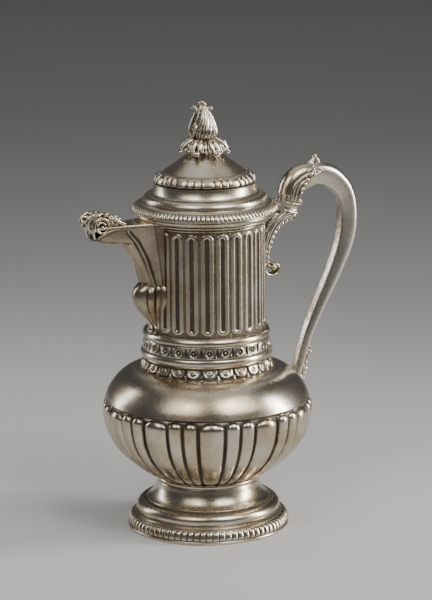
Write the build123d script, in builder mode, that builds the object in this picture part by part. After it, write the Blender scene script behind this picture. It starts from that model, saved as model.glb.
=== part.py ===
from build123d import *
import math
import os

os.makedirs("parts", exist_ok=True)

# ---------------------------------------------------------------- dimensions
# Millimetres. +Z up, origin at the centre of the foot's resting ring,
# spout towards -X, handle and lid hinge towards +X.
WALL = 1.0                 # raised sheet of the body and the foot
LID_WALL = 1.1

FOOT_R = 53.3              # outer radius of the foot's resting ring
FOOT_RING_IN = 46.0
FOOT_BORDER_TOP = 9.2
FOOT_TOP = 31.6            # foot shell ends, collar begins
COLLAR_TOP = 34.9          # collar ends, body begins
BODY_SPLIT = 87.1          # lobed lower body meets the plain shoulder
SHOULDER_TOP = 108.1
NECK_IN = 37.0             # bore of the neck
NECK_R = 38.0
LEAF_BAND_TOP = 114.3
LOWER_TORUS_TOP = 120.7
FRIEZE_TOP = 129.2
UPPER_TORUS_TOP = 134.3
NECK_TOP = 203.9
RIM_TOP = 211.4
RIM_R = 46.3

LID_GAP = 0.3              # lid border hangs this far above the rim
LID_BASE = RIM_TOP + LID_GAP
LID_R = 47.8
BEZEL_R = 36.5             # 0.5 mm clearance in the neck bore
BEZEL_DEPTH = 5.2

HINGE_X = 52.3
HINGE_Z = 210.6
KNUCKLE_R = 2.3
PIN_R = 1.10
PIN_HOLE_R = 1.15          # running fit on the hinge pin
KNUCKLE_HALF = 2.2         # half length of the lid's middle knuckle
KNUCKLE_OUT = 6.4          # outer ends of the two pot knuckles
KNUCKLE_GAP = 0.3

STRAINER_R = 1.6           # pierced holes behind the spout


def mm_inset(points, t):
    """Points moved t to the left of the travel direction (inside of a wall)."""
    out = []
    n = len(points)
    for i, (x, y) in enumerate(points):
        x0, y0 = points[max(i - 1, 0)]
        x1, y1 = points[min(i + 1, n - 1)]
        d = math.hypot(x1 - x0, y1 - y0)
        out.append((x - t * (y1 - y0) / d, y + t * (x1 - x0) / d))
    return out


# ------------------------------------------------------------ shared profiles
# lower body, from the foot join to the line above the lobes (r, z)
BOWL = [(33.0, COLLAR_TOP), (38.5, 36.7), (42.8, 39.3), (47.5, 42.6),
        (51.5, 45.9), (55.8, 49.8), (59.4, 53.7), (62.3, 57.6), (64.9, 62.2),
        (66.9, 66.8), (68.2, 72.0), (69.0, 77.3), (69.1, 81.9), (68.4, 85.2),
        (67.5, BODY_SPLIT)]
# plain shoulder, up to the seat of the neck
SHOULDER = [(67.5, BODY_SPLIT), (65.9, 91.4), (63.9, 95.0), (61.5, 98.3),
            (58.4, 101.6), (54.4, 104.6), (49.6, 106.7), (43.8, SHOULDER_TOP)]

# ------------------------------------------------------------------ the foot
with BuildPart() as foot_border:
    with BuildSketch(Plane.XZ):
        with BuildLine():
            Polyline((FOOT_RING_IN, FOOT_BORDER_TOP), (FOOT_RING_IN, 7.9),
                     (49.3, 7.9))
            Spline((49.3, 7.9), (50.7, 6.7), (51.5, 4.9), (51.8, 2.8))
            Polyline((51.8, 2.8), (51.8, 0), (FOOT_R, 0), (FOOT_R, 1.5))
            Spline((FOOT_R, 1.5), (53.25, 3.2), (52.9, 5.2), (52.2, 7.2),
                   (50.9, 8.7), (49.6, FOOT_BORDER_TOP))
            Line((49.6, FOOT_BORDER_TOP), (FOOT_RING_IN, FOOT_BORDER_TOP))
        make_face()
    revolve(axis=Axis.Z)

with BuildPart() as foot_shell:
    with BuildSketch(Plane.XZ):
        with BuildLine():
            Line((46.2, FOOT_BORDER_TOP), (49.0, FOOT_BORDER_TOP))
            Line((49.0, FOOT_BORDER_TOP), (47.1, 10.9))
            Spline((47.1, 10.9), (47.5, 13.2), (46.5, 15.8), (44.1, 17.8),
                   (41.1, 18.5))
            Spline((41.1, 18.5), (38.4, 20.6), (36.0, 23.6), (34.2, 27.6),
                   (33.3, FOOT_TOP))
            Line((33.3, FOOT_TOP), (32.3, FOOT_TOP))
            Spline((32.3, FOOT_TOP), (33.2, 27.3), (35.1, 23.0), (37.7, 19.9),
                   (40.8, 17.5), (43.6, 16.7), (45.6, 15.0), (46.4, 13.0),
                   (46.2, FOOT_BORDER_TOP))
        make_face()
    revolve(axis=Axis.Z)

with BuildPart() as foot_collar:
    with BuildSketch(Plane.XZ):
        with BuildLine():
            Polyline((33.0, COLLAR_TOP), (29.5, COLLAR_TOP), (29.5, FOOT_TOP),
                     (33.5, FOOT_TOP))
            Spline((33.5, FOOT_TOP), (34.2, 32.4), (34.3, 33.4), (33.9, 34.3),
                   (33.0, COLLAR_TOP))
        make_face()
    revolve(axis=Axis.Z)

# ------------------------------------------------------------------ the body
with BuildPart() as lower_body:
    bowl_in = mm_inset(BOWL, WALL)
    bowl_in[0] = (32.0, COLLAR_TOP + WALL)
    bowl_in[-1] = (67.5 - 1.05, BODY_SPLIT)
    with BuildSketch(Plane.XZ):
        with BuildLine():
            Line((0, COLLAR_TOP), BOWL[0])
            Spline(*BOWL)
            Line(BOWL[-1], bowl_in[-1])
            Spline(*bowl_in[::-1])
            Polyline(bowl_in[0], (0, COLLAR_TOP + WALL), (0, COLLAR_TOP))
        make_face()
    revolve(axis=Axis.Z)

with BuildPart() as shoulder:
    sh_in = mm_inset(SHOULDER, WALL)
    sh_in[0] = (67.5 - 1.05, BODY_SPLIT)
    sh_in[-1] = (43.4, SHOULDER_TOP - WALL)
    with BuildSketch(Plane.XZ):
        with BuildLine():
            Spline(*SHOULDER)
            Polyline(SHOULDER[-1], (41.8, SHOULDER_TOP),
                     (41.8, SHOULDER_TOP - WALL), sh_in[-1])
            Spline(*sh_in[::-1])
            Line(sh_in[0], SHOULDER[0])
        make_face()
    revolve(axis=Axis.Z)

# ------------------------------------------------- borders around the neck
with BuildPart() as leaf_band:
    with BuildSketch(Plane.XZ):
        with BuildLine():
            Line((41.6, LEAF_BAND_TOP), (40.4, LEAF_BAND_TOP))
            Spline((40.4, LEAF_BAND_TOP), (41.0, 112.4), (41.7, 110.2),
                   (42.0, SHOULDER_TOP))
            Line((42.0, SHOULDER_TOP), (43.7, SHOULDER_TOP))
            Spline((43.7, SHOULDER_TOP), (43.2, 110.2), (42.3, 112.4),
                   (41.6, LEAF_BAND_TOP))
        make_face()
    revolve(axis=Axis.Z)

with BuildPart() as lower_neck_torus:
    with BuildSketch(Plane.XZ):
        with BuildLine():
            Line((42.6, LOWER_TORUS_TOP), (41.2, LOWER_TORUS_TOP))
            Spline((41.2, LOWER_TORUS_TOP), (42.1, 119.0), (42.1, 117.6),
                   (41.5, 116.1), (40.4, LEAF_BAND_TOP))
            Line((40.4, LEAF_BAND_TOP), (41.5, LEAF_BAND_TOP))
            Spline((41.5, LEAF_BAND_TOP), (42.6, 115.6), (43.3, 117.4),
                   (43.3, 119.2), (42.6, LOWER_TORUS_TOP))
        make_face()
    revolve(axis=Axis.Z)

with BuildPart() as frieze_band:
    with BuildSketch(Plane.XZ):
        with BuildLine():
            Polyline((42.2, LOWER_TORUS_TOP), (42.0, 122.0), (41.2, 127.9),
                     (41.4, FRIEZE_TOP), (40.1, FRIEZE_TOP),
                     (41.0, LOWER_TORUS_TOP), close=True)
        make_face()
    revolve(axis=Axis.Z)

with BuildPart() as upper_neck_torus:
    with BuildSketch(Plane.XZ):
        with BuildLine():
            Polyline((39.2, UPPER_TORUS_TOP), (NECK_IN, UPPER_TORUS_TOP),
                     (NECK_IN, 133.4))
            Spline((NECK_IN, 133.4), (38.8, 132.8), (40.0, 132.0),
                   (40.6, 130.8), (40.1, FRIEZE_TOP))
            Line((40.1, FRIEZE_TOP), (41.3, FRIEZE_TOP))
            Spline((41.3, FRIEZE_TOP), (41.9, 130.6), (41.6, 132.4),
                   (40.6, 133.7), (39.2, UPPER_TORUS_TOP))
        make_face()
    revolve(axis=Axis.Z)

# ------------------------------------------------------------------ the neck
# Straight tube; on the spout side it is pierced as a strainer.
with BuildPart() as neck_tube:
    with BuildSketch(Plane.XY.offset(UPPER_TORUS_TOP)):
        Circle(NECK_R)
        Circle(NECK_IN, mode=Mode.SUBTRACT)
    extrude(amount=NECK_TOP - UPPER_TORUS_TOP)
    # holes bored towards -X, set out on a plane that faces the spout
    with BuildSketch(Plane(origin=(-30, 0, 186), x_dir=(0, 1, 0),
                           z_dir=(-1, 0, 0))):
        with HexLocations(2.7, 3, 5):
            Circle(STRAINER_R)
    extrude(amount=12, mode=Mode.SUBTRACT)

with BuildPart() as neck_rim:
    with BuildSketch(Plane.XZ):
        with BuildLine():
            Polyline((NECK_IN, NECK_TOP), (39.4, NECK_TOP), (39.4, 204.7),
                     (40.2, 205.3))
            Spline((40.2, 205.3), (41.3, 206.8), (43.0, 208.3), (45.2, 209.4))
            Polyline((45.2, 209.4), (RIM_R, 210.0), (RIM_R, RIM_TOP),
                     (NECK_IN, RIM_TOP), (NECK_IN, NECK_TOP))
        make_face()
    revolve(axis=Axis.Z)

# Solid envelope of the body and neck, used only to trim what is soldered on.
with BuildPart() as envelope:
    with BuildSketch(Plane.XZ):
        with BuildLine():
            Line((0, COLLAR_TOP), BOWL[0])
            Spline(*BOWL)
            Spline(*SHOULDER)
            Polyline(SHOULDER[-1], (43.7, SHOULDER_TOP))
            Spline((43.7, SHOULDER_TOP), (43.2, 110.2), (42.3, 112.4),
                   (41.6, LEAF_BAND_TOP))
            Line((41.6, LEAF_BAND_TOP), (41.5, LEAF_BAND_TOP))
            Spline((41.5, LEAF_BAND_TOP), (42.6, 115.6), (43.3, 117.4),
                   (43.3, 119.2), (42.6, LOWER_TORUS_TOP))
            Polyline((42.6, LOWER_TORUS_TOP), (42.2, LOWER_TORUS_TOP),
                     (42.0, 122.0), (41.2, 127.9), (41.4, FRIEZE_TOP),
                     (41.3, FRIEZE_TOP))
            Spline((41.3, FRIEZE_TOP), (41.9, 130.6), (41.6, 132.4),
                   (40.6, 133.7), (39.2, UPPER_TORUS_TOP))
            Polyline((39.2, UPPER_TORUS_TOP), (NECK_R, UPPER_TORUS_TOP),
                     (NECK_R, NECK_TOP), (39.4, NECK_TOP), (39.4, 204.7),
                     (40.2, 205.3))
            Spline((40.2, 205.3), (41.3, 206.8), (43.0, 208.3), (45.2, 209.4))
            Polyline((45.2, 209.4), (RIM_R, 210.0), (RIM_R, RIM_TOP),
                     (0, RIM_TOP), (0, COLLAR_TOP))
        make_face()
    revolve(axis=Axis.Z)

# ----------------------------------------------------------------- the spout
# Level sections of the beak: (height, half outline from neck to keel).
# Points run neck, fold, ridge, three points round the keel, keel.
SPOUT_BOTTOM = 167.7
SPOUT_TOP = 207.6
SPOUT = [
    (SPOUT_BOTTOM, [(34, 12.2), (39.3, 11.7), (43.2, 9.6), (44.9, 7.2),
                    (46.2, 4.9), (47.1, 2.4), (47.4, 0)]),
    (176.0, [(34, 12.2), (40.2, 11.6), (45.5, 8.8), (47.2, 6.6), (48.5, 4.4),
             (49.4, 2.2), (49.8, 0)]),
    (185.0, [(34, 12.2), (41.3, 11.5), (48.1, 7.9), (50.6, 6.0), (52.5, 4.1),
             (53.8, 2.1), (54.3, 0)]),
    (192.0, [(34, 12.2), (42.3, 11.5), (51.3, 7.4), (54.2, 5.8), (56.8, 4.1),
             (58.6, 2.1), (59.3, 0)]),
    (196.0, [(34, 12.2), (42.9, 11.4), (53.4, 7.2), (57.0, 5.8), (60.2, 4.2),
             (62.7, 2.2), (63.6, 0)]),
    (198.0, [(34, 12.2), (43.2, 11.4), (54.7, 7.1), (61.5, 6.1), (68.0, 5.3),
             (74.6, 3.4), (77.5, 0)]),
    (200.2, [(34, 12.2), (43.6, 11.4), (56.6, 7.0), (64.0, 6.5), (73.0, 6.2),
             (80.2, 4.4), (82.6, 0)]),
    (203.4, [(34, 12.2), (44.0, 11.4), (59.4, 6.9), (66.0, 6.7), (75.0, 6.5),
             (82.6, 5.0), (84.8, 0)]),
    (SPOUT_TOP, [(34, 12.2), (44.5, 11.4), (62.8, 6.9), (68.0, 6.8),
                 (76.0, 6.6), (83.6, 5.2), (85.6, 0)]),
]
# the hollow inside, one wall smaller and one wall higher
SPOUT_HOLLOW = [
    (h + (0.0 if h == SPOUT_TOP else 1.3),
     [(30, 11.0)] + [(x - 1.15 * (0.35 + 0.65 * (1 - w / 12.2)) * 1.0,
                      max(w - 1.1, 0.0)) for x, w in half[1:-1]]
     + [(half[-1][0] - 1.3, 0)])
    for h, half in SPOUT]
SPOUT_HOLLOW[-1] = (SPOUT_TOP + 0.5, SPOUT_HOLLOW[-1][1])


def outline(half):
    """Closed plan outline on the -X side from a half outline."""
    near = [(-x, w) for x, w in half]
    far = [(-x, -w) for x, w in half[-2::-1]]
    return near + far


with BuildPart() as spout_hollow:
    for height, half in SPOUT_HOLLOW:
        with BuildSketch(Plane.XY.offset(height)):
            with BuildLine():
                Polyline(*outline(half), close=True)
            make_face()
    loft(ruled=True)

with BuildPart() as spout_shell:
    for height, half in SPOUT:
        with BuildSketch(Plane.XY.offset(height)):
            with BuildLine():
                Polyline(*outline(half), close=True)
            make_face()
    loft(ruled=True)
    add(spout_hollow.part, mode=Mode.SUBTRACT)
    # the mouth: the front of the beak stands open above the lower lip
    with BuildSketch(Plane.XZ.offset(-12)):
        with BuildLine():
            Polyline((-64.5, SPOUT_TOP + 1), (-66.5, 207.3), (-69.5, 207.0),
                     (-73.0, 206.5), (-76.0, 205.6), (-79.0, 204.0),
                     (-81.3, 202.3), (-83.0, 200.8), (-90, 199.0),
                     (-90, SPOUT_TOP + 1), close=True)
        make_face()
    extrude(amount=24, mode=Mode.SUBTRACT)
    add(envelope.part, mode=Mode.SUBTRACT)

with BuildPart() as spout_cover:
    with BuildSketch(Plane.XY.offset(SPOUT_TOP)):
        with BuildLine():
            Polyline(*outline([(34, 12.6), (44.5, 11.9), (62.8, 7.5),
                               (70.0, 7.2), (78.0, 7.0), (84.6, 5.6),
                               (86.4, 0)]), close=True)
        make_face()
    extrude(amount=1.4)
    add(envelope.part, mode=Mode.SUBTRACT)

with BuildPart() as spout_scroll:
    with BuildSketch(Plane.XZ.offset(-5.9)):
        with BuildLine():
            Line((-86.5, 209.0), (-71.0, 209.0))
            Spline((-71.0, 209.0), (-73.0, 212.0), (-76.4, 215.2),
                   (-80.4, 217.5), (-84.4, 217.8), (-88.0, 216.0),
                   (-90.4, 212.4), (-89.6, 208.6), (-87.0, 206.6))
            Line((-87.0, 206.6), (-86.5, 209.0))
        make_face()
    extrude(amount=11.8)
    with Locations(Plane(origin=(-82.3, 0, 212.4), z_dir=(0, 1, 0))):
        Cylinder(radius=3.4, height=13.8)

# half-melon boss under the beak, drawn out to a point with a bead below it
BOSS = [(SPOUT_BOTTOM, 8.8, 12.2), (165.0, 15.5, 12.9), (161.8, 17.6, 13.1),
        (156.0, 15.8, 11.8), (149.0, 11.0, 8.5), (143.0, 7.0, 5.2),
        (139.2, 4.4, 2.8)]
BOSS_AXIS = 36.5
with BuildPart() as spout_boss:
    for height, reach, half_w in BOSS[::-1]:
        with BuildSketch(Plane.XY.offset(height)):
            with Locations((-BOSS_AXIS, 0)):
                Ellipse(reach, half_w)
    loft()
    add(envelope.part, mode=Mode.SUBTRACT)

with BuildPart() as spout_bead:
    with Locations((-41.0, 0, 136.7)):
        Sphere(2.5)
    add(envelope.part, mode=Mode.SUBTRACT)

# ---------------------------------------------------------------- the handle
# Stations down the handle: ((outer x, z), (inner x, z), half width).
HANDLE = [
    ((56.4, 212.3), (69.6, 209.0), 5.3),
    ((57.3, 218.1), (70.8, 213.4), 5.4),
    ((59.2, 223.8), (72.6, 216.4), 5.5),
    ((62.7, 228.6), (74.9, 218.2), 5.6),
    ((67.4, 231.9), (77.6, 219.4), 5.6),
    ((72.8, 233.9), (80.2, 220.1), 5.6),
    ((79.1, 234.9), (82.6, 220.3), 5.6),
    ((86.6, 234.8), (85.4, 220.2), 5.6),
    ((94.0, 233.3), (88.8, 219.4), 5.6),
    ((100.5, 230.3), (92.8, 217.5), 5.6),
    ((106.2, 225.7), (96.9, 214.5), 5.6),
    ((111.0, 219.9), (100.4, 211.0), 5.6),
    ((114.3, 212.9), (102.4, 207.1), 5.6),
    ((116.2, 205.2), (103.3, 202.2), 5.6),
    ((116.9, 197.3), (103.4, 196.6), 5.6),
    ((116.6, 189.2), (103.0, 190.9), 5.6),
    ((115.2, 181.5), (102.1, 185.2), 5.5),
    ((112.0, 173.0), (100.2, 177.7), 5.4),
    ((107.4, 164.0), (97.0, 169.2), 5.3),
    ((102.3, 154.8), (92.6, 159.4), 5.2),
    ((96.8, 145.8), (88.0, 149.8), 5.0),
    ((91.4, 136.8), (83.3, 140.4), 4.8),
    ((86.3, 127.8), (78.8, 130.6), 4.6),
    ((81.6, 118.4), (74.5, 120.4), 4.4),
    ((77.8, 108.8), (71.0, 110.3), 4.2),
    ((74.6, 99.6), (68.2, 101.0), 4.0),
    ((71.6, 91.6), (65.2, 93.0), 3.9),
    ((67.6, 84.6), (61.4, 86.6), 3.8),
]
HANDLE_WALL = 1.3


def handle_section(outer, inner, half, shrink=0.0):
    """D-shaped section: narrow flat towards the hand gap, broad outside."""
    ox, oz = outer
    ix, iz = inner
    depth = math.hypot(ox - ix, oz - iz)
    plane = Plane(origin=(ix, 0, iz), x_dir=((ox - ix) / depth, 0,
                                             (oz - iz) / depth),
                  z_dir=(-(oz - iz) / depth, 0, (ox - ix) / depth))
    t0, t1 = shrink, depth - shrink
    h = half - shrink
    k = t1 - t0
    pts = [(t0, 0), (t0 + 0.03 * k, 0.34 * h), (t0 + 0.14 * k, 0.60 * h),
           (t0 + 0.40 * k, 0.84 * h), (t0 + 0.68 * k, 1.0 * h),
           (t0 + 0.88 * k, 0.80 * h), (t0 + 0.98 * k, 0.36 * h), (t1, 0)]
    ring = pts + [(x, -y) for x, y in pts[-2:0:-1]]
    return plane, ring


# hollow of the casting, closed at both ends
with BuildPart() as handle_hollow:
    for first, last in ((1, 8), (7, 20), (19, 23)):
        for outer, inner, half in HANDLE[first:last]:
            plane, ring = handle_section(outer, inner, half, HANDLE_WALL)
            with BuildSketch(plane):
                with BuildLine():
                    Spline(*ring, periodic=True)
                make_face()
        loft()

with BuildPart() as handle_arch:
    for first, last in ((0, 8), (7, 20), (19, 28)):
        for outer, inner, half in HANDLE[first:last]:
            plane, ring = handle_section(outer, inner, half)
            with BuildSketch(plane):
                with BuildLine():
                    Spline(*ring, periodic=True)
                make_face()
        loft()
    add(handle_hollow.part, mode=Mode.SUBTRACT)
    # vent drilled through the flat under the arch
    with Locations(Plane(origin=(102.6, 0, 188.0), z_dir=(1, 0, 0))):
        Cylinder(radius=0.8, height=6, mode=Mode.SUBTRACT)
    add(envelope.part, mode=Mode.SUBTRACT)

# plain ferrule that the arch springs from
with BuildPart() as handle_socket:
    plane, ring = handle_section((56.4, 212.3), (69.6, 209.0), 5.6, -0.5)
    with BuildSketch(plane):
        with BuildLine():
            Spline(*ring, periodic=True)
        make_face()
    plane, ring = handle_section((55.6, 205.8), (68.6, 201.8), 5.0, -0.3)
    with BuildSketch(plane):
        with BuildLine():
            Spline(*ring, periodic=True)
        make_face()
    loft()

# scroll bracket between the neck and the ferrule, with its lower volute
with BuildPart() as handle_bracket:
    with BuildSketch(Plane.XZ.offset(-4.3)):
        with BuildLine():
            Spline((55.4, 206.2), (51.6, 203.8), (48.2, 200.2), (45.6, 196.2),
                   (43.0, 192.8), (39.6, 190.4), (35.0, 189.6))
            Line((35.0, 189.6), (35.0, 165.6))
            Spline((35.0, 165.6), (39.6, 163.4), (44.2, 162.0), (48.6, 161.7),
                   (52.2, 162.6), (54.5, 165.2), (54.0, 168.2), (51.2, 169.8),
                   (48.4, 170.0), (46.4, 172.2), (45.5, 175.8), (45.6, 180.0),
                   (46.4, 184.7), (47.9, 189.3), (50.3, 193.0), (53.4, 195.4),
                   (57.6, 197.6), (62.8, 199.4), (68.2, 201.2))
            Polyline((68.2, 201.2), (68.4, 202.4), (55.4, 206.2))
        make_face()
    extrude(amount=8.6)
    add(envelope.part, mode=Mode.SUBTRACT)
    add(handle_socket.part, mode=Mode.SUBTRACT)

# the arch as a solid, used only to trim the leaf and the spur
with BuildPart() as leaf_core:
    for outer, inner, half in HANDLE[0:8]:
        plane, ring = handle_section(outer, inner, half)
        with BuildSketch(plane):
            with BuildLine():
                Spline(*ring, periodic=True)
            make_face()
    loft()

# leaf cast on the pot side of the arch, with the thumb spur at its top
with BuildPart() as handle_leaf:
    for outer, inner, half in HANDLE[1:8]:
        plane, ring = handle_section(outer, inner, half, -0.9)
        with BuildSketch(plane):
            with BuildLine():
                Spline(*ring, periodic=True)
            make_face()
    loft()
    add(leaf_core.part, mode=Mode.SUBTRACT)

# leaf scrolls running down the outside of the handle's foot
with BuildPart() as foot_leaf:
    with BuildSketch(Plane.XZ.offset(-2.4)):
        with BuildLine():
            Spline((77.6, 109.0), (79.9, 107.6), (80.1, 104.6), (77.6, 101.6),
                   (76.6, 98.0), (77.4, 94.6), (75.6, 91.6), (74.4, 88.6),
                   (73.0, 86.2), (71.2, 86.6))
            Polyline((71.2, 86.6), (68.6, 90.0), (72.0, 99.0), (77.6, 109.0))
        make_face()
    extrude(amount=4.8)
    add(handle_arch.part, mode=Mode.SUBTRACT)
    add(envelope.part, mode=Mode.SUBTRACT)

with BuildPart() as thumb_spur:
    with BuildSketch(Plane.XZ.offset(-1.6)):
        with BuildLine():
            Spline((81.2, 235.0), (82.0, 238.0), (83.6, 240.8), (85.6, 240.4),
                   (86.6, 238.0), (86.2, 235.0))
            Polyline((86.2, 235.0), (86.0, 234.0), (81.4, 234.0),
                     (81.2, 235.0))
        make_face()
    extrude(amount=3.2)
    add(handle_leaf.part, mode=Mode.SUBTRACT)
    add(leaf_core.part, mode=Mode.SUBTRACT)

# ------------------------------------------------------------------- the lid
with BuildPart() as lid_border:
    with BuildSketch(Plane.XZ):
        with BuildLine():
            Polyline((40.0, 218.4), (37.2, 218.4), (37.2, LID_BASE),
                     (38.4, LID_BASE), (38.4, 217.2))
            Spline((38.4, 217.2), (41.4, 216.9), (43.7, 216.3), (45.4, 215.2),
                   (46.4, 213.6), (46.4, LID_BASE))
            Polyline((46.4, LID_BASE), (47.2, LID_BASE), (LID_R, 212.6))
            Spline((LID_R, 212.6), (47.5, 214.2), (46.3, 216.0),
                   (44.0, 217.4), (41.6, 218.1), (40.0, 218.4))
        make_face()
    revolve(axis=Axis.Z)

# raised shell: step, hollow and dome, rising to the finial's seat
with BuildPart() as lid_shell:
    with BuildSketch(Plane.XZ):
        with BuildLine():
            Line((36.0, 218.4), (40.6, 218.4))
            Spline((40.6, 218.4), (40.4, 220.2), (39.2, 222.0), (37.2, 223.0),
                   (36.3, 223.3))
            Spline((36.3, 223.3), (34.7, 224.9), (33.6, 227.2), (33.0, 230.4))
            Polyline((33.0, 230.4), (30.6, 230.6), (28.2, 236.8),
                     (27.4, 237.2))
            Spline((27.4, 237.2), (24.0, 239.8), (19.4, 242.9), (14.4, 246.4),
                   (9.6, 250.6), (6.6, 254.4), (5.2, 257.4))
            Line((5.2, 257.4), (1.6, 257.4))
            Polyline((1.6, 257.4), (1.6, 255.4), (3.9, 255.4))
            Spline((3.9, 255.4), (5.6, 253.4), (8.8, 249.8), (13.7, 245.5),
                   (18.7, 242.0), (23.4, 238.9), (26.9, 236.2))
            Polyline((26.9, 236.2), (29.6, 229.8), (31.9, 229.6))
            Spline((31.9, 229.6), (32.5, 227.0), (33.7, 224.3), (35.4, 222.4))
            Polyline((35.4, 222.4), (36.0, 221.6), (36.0, 218.4))
        make_face()
    revolve(axis=Axis.Z)

with BuildPart() as lid_band:
    with BuildSketch(Plane.XZ):
        with BuildLine():
            Polyline((28.2, 236.8), (30.6, 230.6), (33.0, 230.4))
            Spline((33.0, 230.4), (33.2, 232.0), (32.3, 234.6), (30.6, 236.4),
                   (28.2, 236.8))
        make_face()
    revolve(axis=Axis.Z)

# plain ring below the border that drops into the neck
with BuildPart() as lid_bezel:
    with BuildSketch(Plane.XZ):
        with BuildLine():
            Polyline((37.2, 218.0), (36.2, 218.0), (35.5, 213.0),
                     (35.5, LID_BASE - BEZEL_DEPTH),
                     (BEZEL_R - 0.15, LID_BASE - BEZEL_DEPTH),
                     (BEZEL_R, LID_BASE - 0.1), (37.2, LID_BASE + 0.1),
                     close=True)
        make_face()
    revolve(axis=Axis.Z)

# ---------------------------------------------------------------- the finial
# seven-leaf collar, bud, stud through the lid and its nut inside
CALYX_LEAVES = 7
with BuildPart() as finial_calyx:
    with BuildSketch(Plane.XZ):
        with BuildLine():
            Polyline((2.4, 257.4), (5.2, 257.4), (6.6, 254.4), (9.6, 250.6))
            Spline((9.6, 250.6), (12.6, 249.6), (15.4, 248.6), (17.4, 249.2))
            Spline((17.4, 249.2), (17.2, 250.8), (14.6, 252.2), (11.4, 254.0),
                   (8.6, 256.6), (5.0, 258.0))
            Line((5.0, 258.0), (2.4, 258.0))
            Line((2.4, 258.0), (2.4, 257.4))
        make_face()
    revolve(axis=Axis.Z)
    # gaps between the leaf tips
    with BuildSketch(Plane.XY.offset(246)):
        with PolarLocations(17.6, CALYX_LEAVES, start_angle=4.7):
            Ellipse(4.6, 2.2)
    extrude(amount=12, mode=Mode.SUBTRACT)
    add(lid_shell.part, mode=Mode.SUBTRACT)

with BuildPart() as finial_bud:
    with BuildSketch(Plane.XZ):
        with BuildLine():
            Polyline((0, 262.4), (0, 258.0), (3.6, 258.0))
            Spline((3.6, 258.0), (7.2, 259.6), (9.2, 262.2), (9.5, 265.2),
                   (8.4, 269.6), (6.4, 273.8), (4.6, 277.0), (3.6, 279.8),
                   (2.2, 282.6), (0, 283.4))
            Line((0, 283.4), (0, 262.4))
        make_face()
    revolve(axis=Axis.Z)
    # blind hole for the stud
    with Locations((0, 0, 258.0)):
        Cylinder(radius=1.5, height=7.8, align=(Align.CENTER, Align.CENTER,
                                                Align.MIN),
                 mode=Mode.SUBTRACT)

with BuildPart() as finial_stud:
    with Locations((0, 0, 250.6)):
        Cylinder(radius=1.5, height=15.2,
                 align=(Align.CENTER, Align.CENTER, Align.MIN))

with BuildPart() as finial_nut:
    with BuildSketch(Plane.XY.offset(252.4)):
        RegularPolygon(radius=3.6, side_count=6)
        Circle(1.5, mode=Mode.SUBTRACT)
    extrude(amount=2.6)

with BuildPart() as finial_washer:
    with BuildSketch(Plane.XY.offset(255.0)):
        Circle(3.6)
        Circle(1.6, mode=Mode.SUBTRACT)
    extrude(amount=0.4)

# ----------------------------------------------------------------- the hinge
HINGE_PLANE = Plane(origin=(HINGE_X, 0, HINGE_Z), x_dir=(1, 0, 0),
                    z_dir=(0, -1, 0))
with BuildPart() as lid_knuckle:
    with BuildSketch(HINGE_PLANE.offset(-KNUCKLE_HALF)):
        Circle(KNUCKLE_R)
        with BuildLine():
            Polyline((0, KNUCKLE_R), (-2.4, 3.0), (-7.2, 3.4), (-7.2, 1.15),
                     (-1.9, 1.15), (0, 0), close=True)
        make_face()
        Circle(PIN_HOLE_R, mode=Mode.SUBTRACT)
    extrude(amount=2 * KNUCKLE_HALF)
    add(lid_border.part, mode=Mode.SUBTRACT)

with BuildPart() as pot_knuckles:
    for side in (-1, 1):
        start = KNUCKLE_HALF + KNUCKLE_GAP
        length = KNUCKLE_OUT - start
        offset = start if side > 0 else -KNUCKLE_OUT
        with BuildSketch(HINGE_PLANE.offset(offset)):
            Circle(KNUCKLE_R)
            with BuildLine():
                Polyline((0, 0), (0.6, 2.2), (4.6, 1.4), (4.6, -5.6),
                         (2.0, -5.6), (-1.0, -2.05), close=True)
            make_face()
            Circle(PIN_HOLE_R, mode=Mode.SUBTRACT)
        extrude(amount=length)
    add(handle_socket.part, mode=Mode.SUBTRACT)
    add(handle_bracket.part, mode=Mode.SUBTRACT)
    add(envelope.part, mode=Mode.SUBTRACT)

with BuildPart() as hinge_pin:
    with BuildSketch(HINGE_PLANE.offset(-KNUCKLE_OUT - 0.6)):
        Circle(PIN_R)
    extrude(amount=2 * KNUCKLE_OUT + 1.2)

for name, label in [
        (foot_border, "foot_border"), (foot_shell, "foot_shell"),
        (foot_collar, "foot_collar"), (lower_body, "lower_body"),
        (shoulder, "shoulder"), (leaf_band, "leaf_band"),
        (lower_neck_torus, "lower_neck_torus"), (frieze_band, "frieze_band"),
        (upper_neck_torus, "upper_neck_torus"), (neck_tube, "neck_tube"),
        (neck_rim, "neck_rim"), (spout_shell, "spout_shell"),
        (spout_cover, "spout_cover"), (spout_scroll, "spout_scroll"),
        (spout_boss, "spout_boss"), (spout_bead, "spout_bead"),
        (handle_arch, "handle_arch"), (handle_socket, "handle_socket"),
        (handle_bracket, "handle_bracket"),
        (handle_leaf, "handle_leaf"), (foot_leaf, "handle_foot_leaf"),
        (thumb_spur, "thumb_spur"),
        (lid_border, "lid_border"), (lid_shell, "lid_shell"),
        (lid_band, "lid_band"), (lid_bezel, "lid_bezel"),
        (finial_calyx, "finial_calyx"), (finial_bud, "finial_bud"),
        (finial_stud, "finial_stud"), (finial_nut, "finial_nut"),
        (finial_washer, "finial_washer"), (lid_knuckle, "lid_knuckle"),
        (pot_knuckles, "pot_knuckles"), (hinge_pin, "hinge_pin")]:
    name.part.label = label
    export_step(name.part, f"parts/{label}.step")
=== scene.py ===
import math

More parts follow.
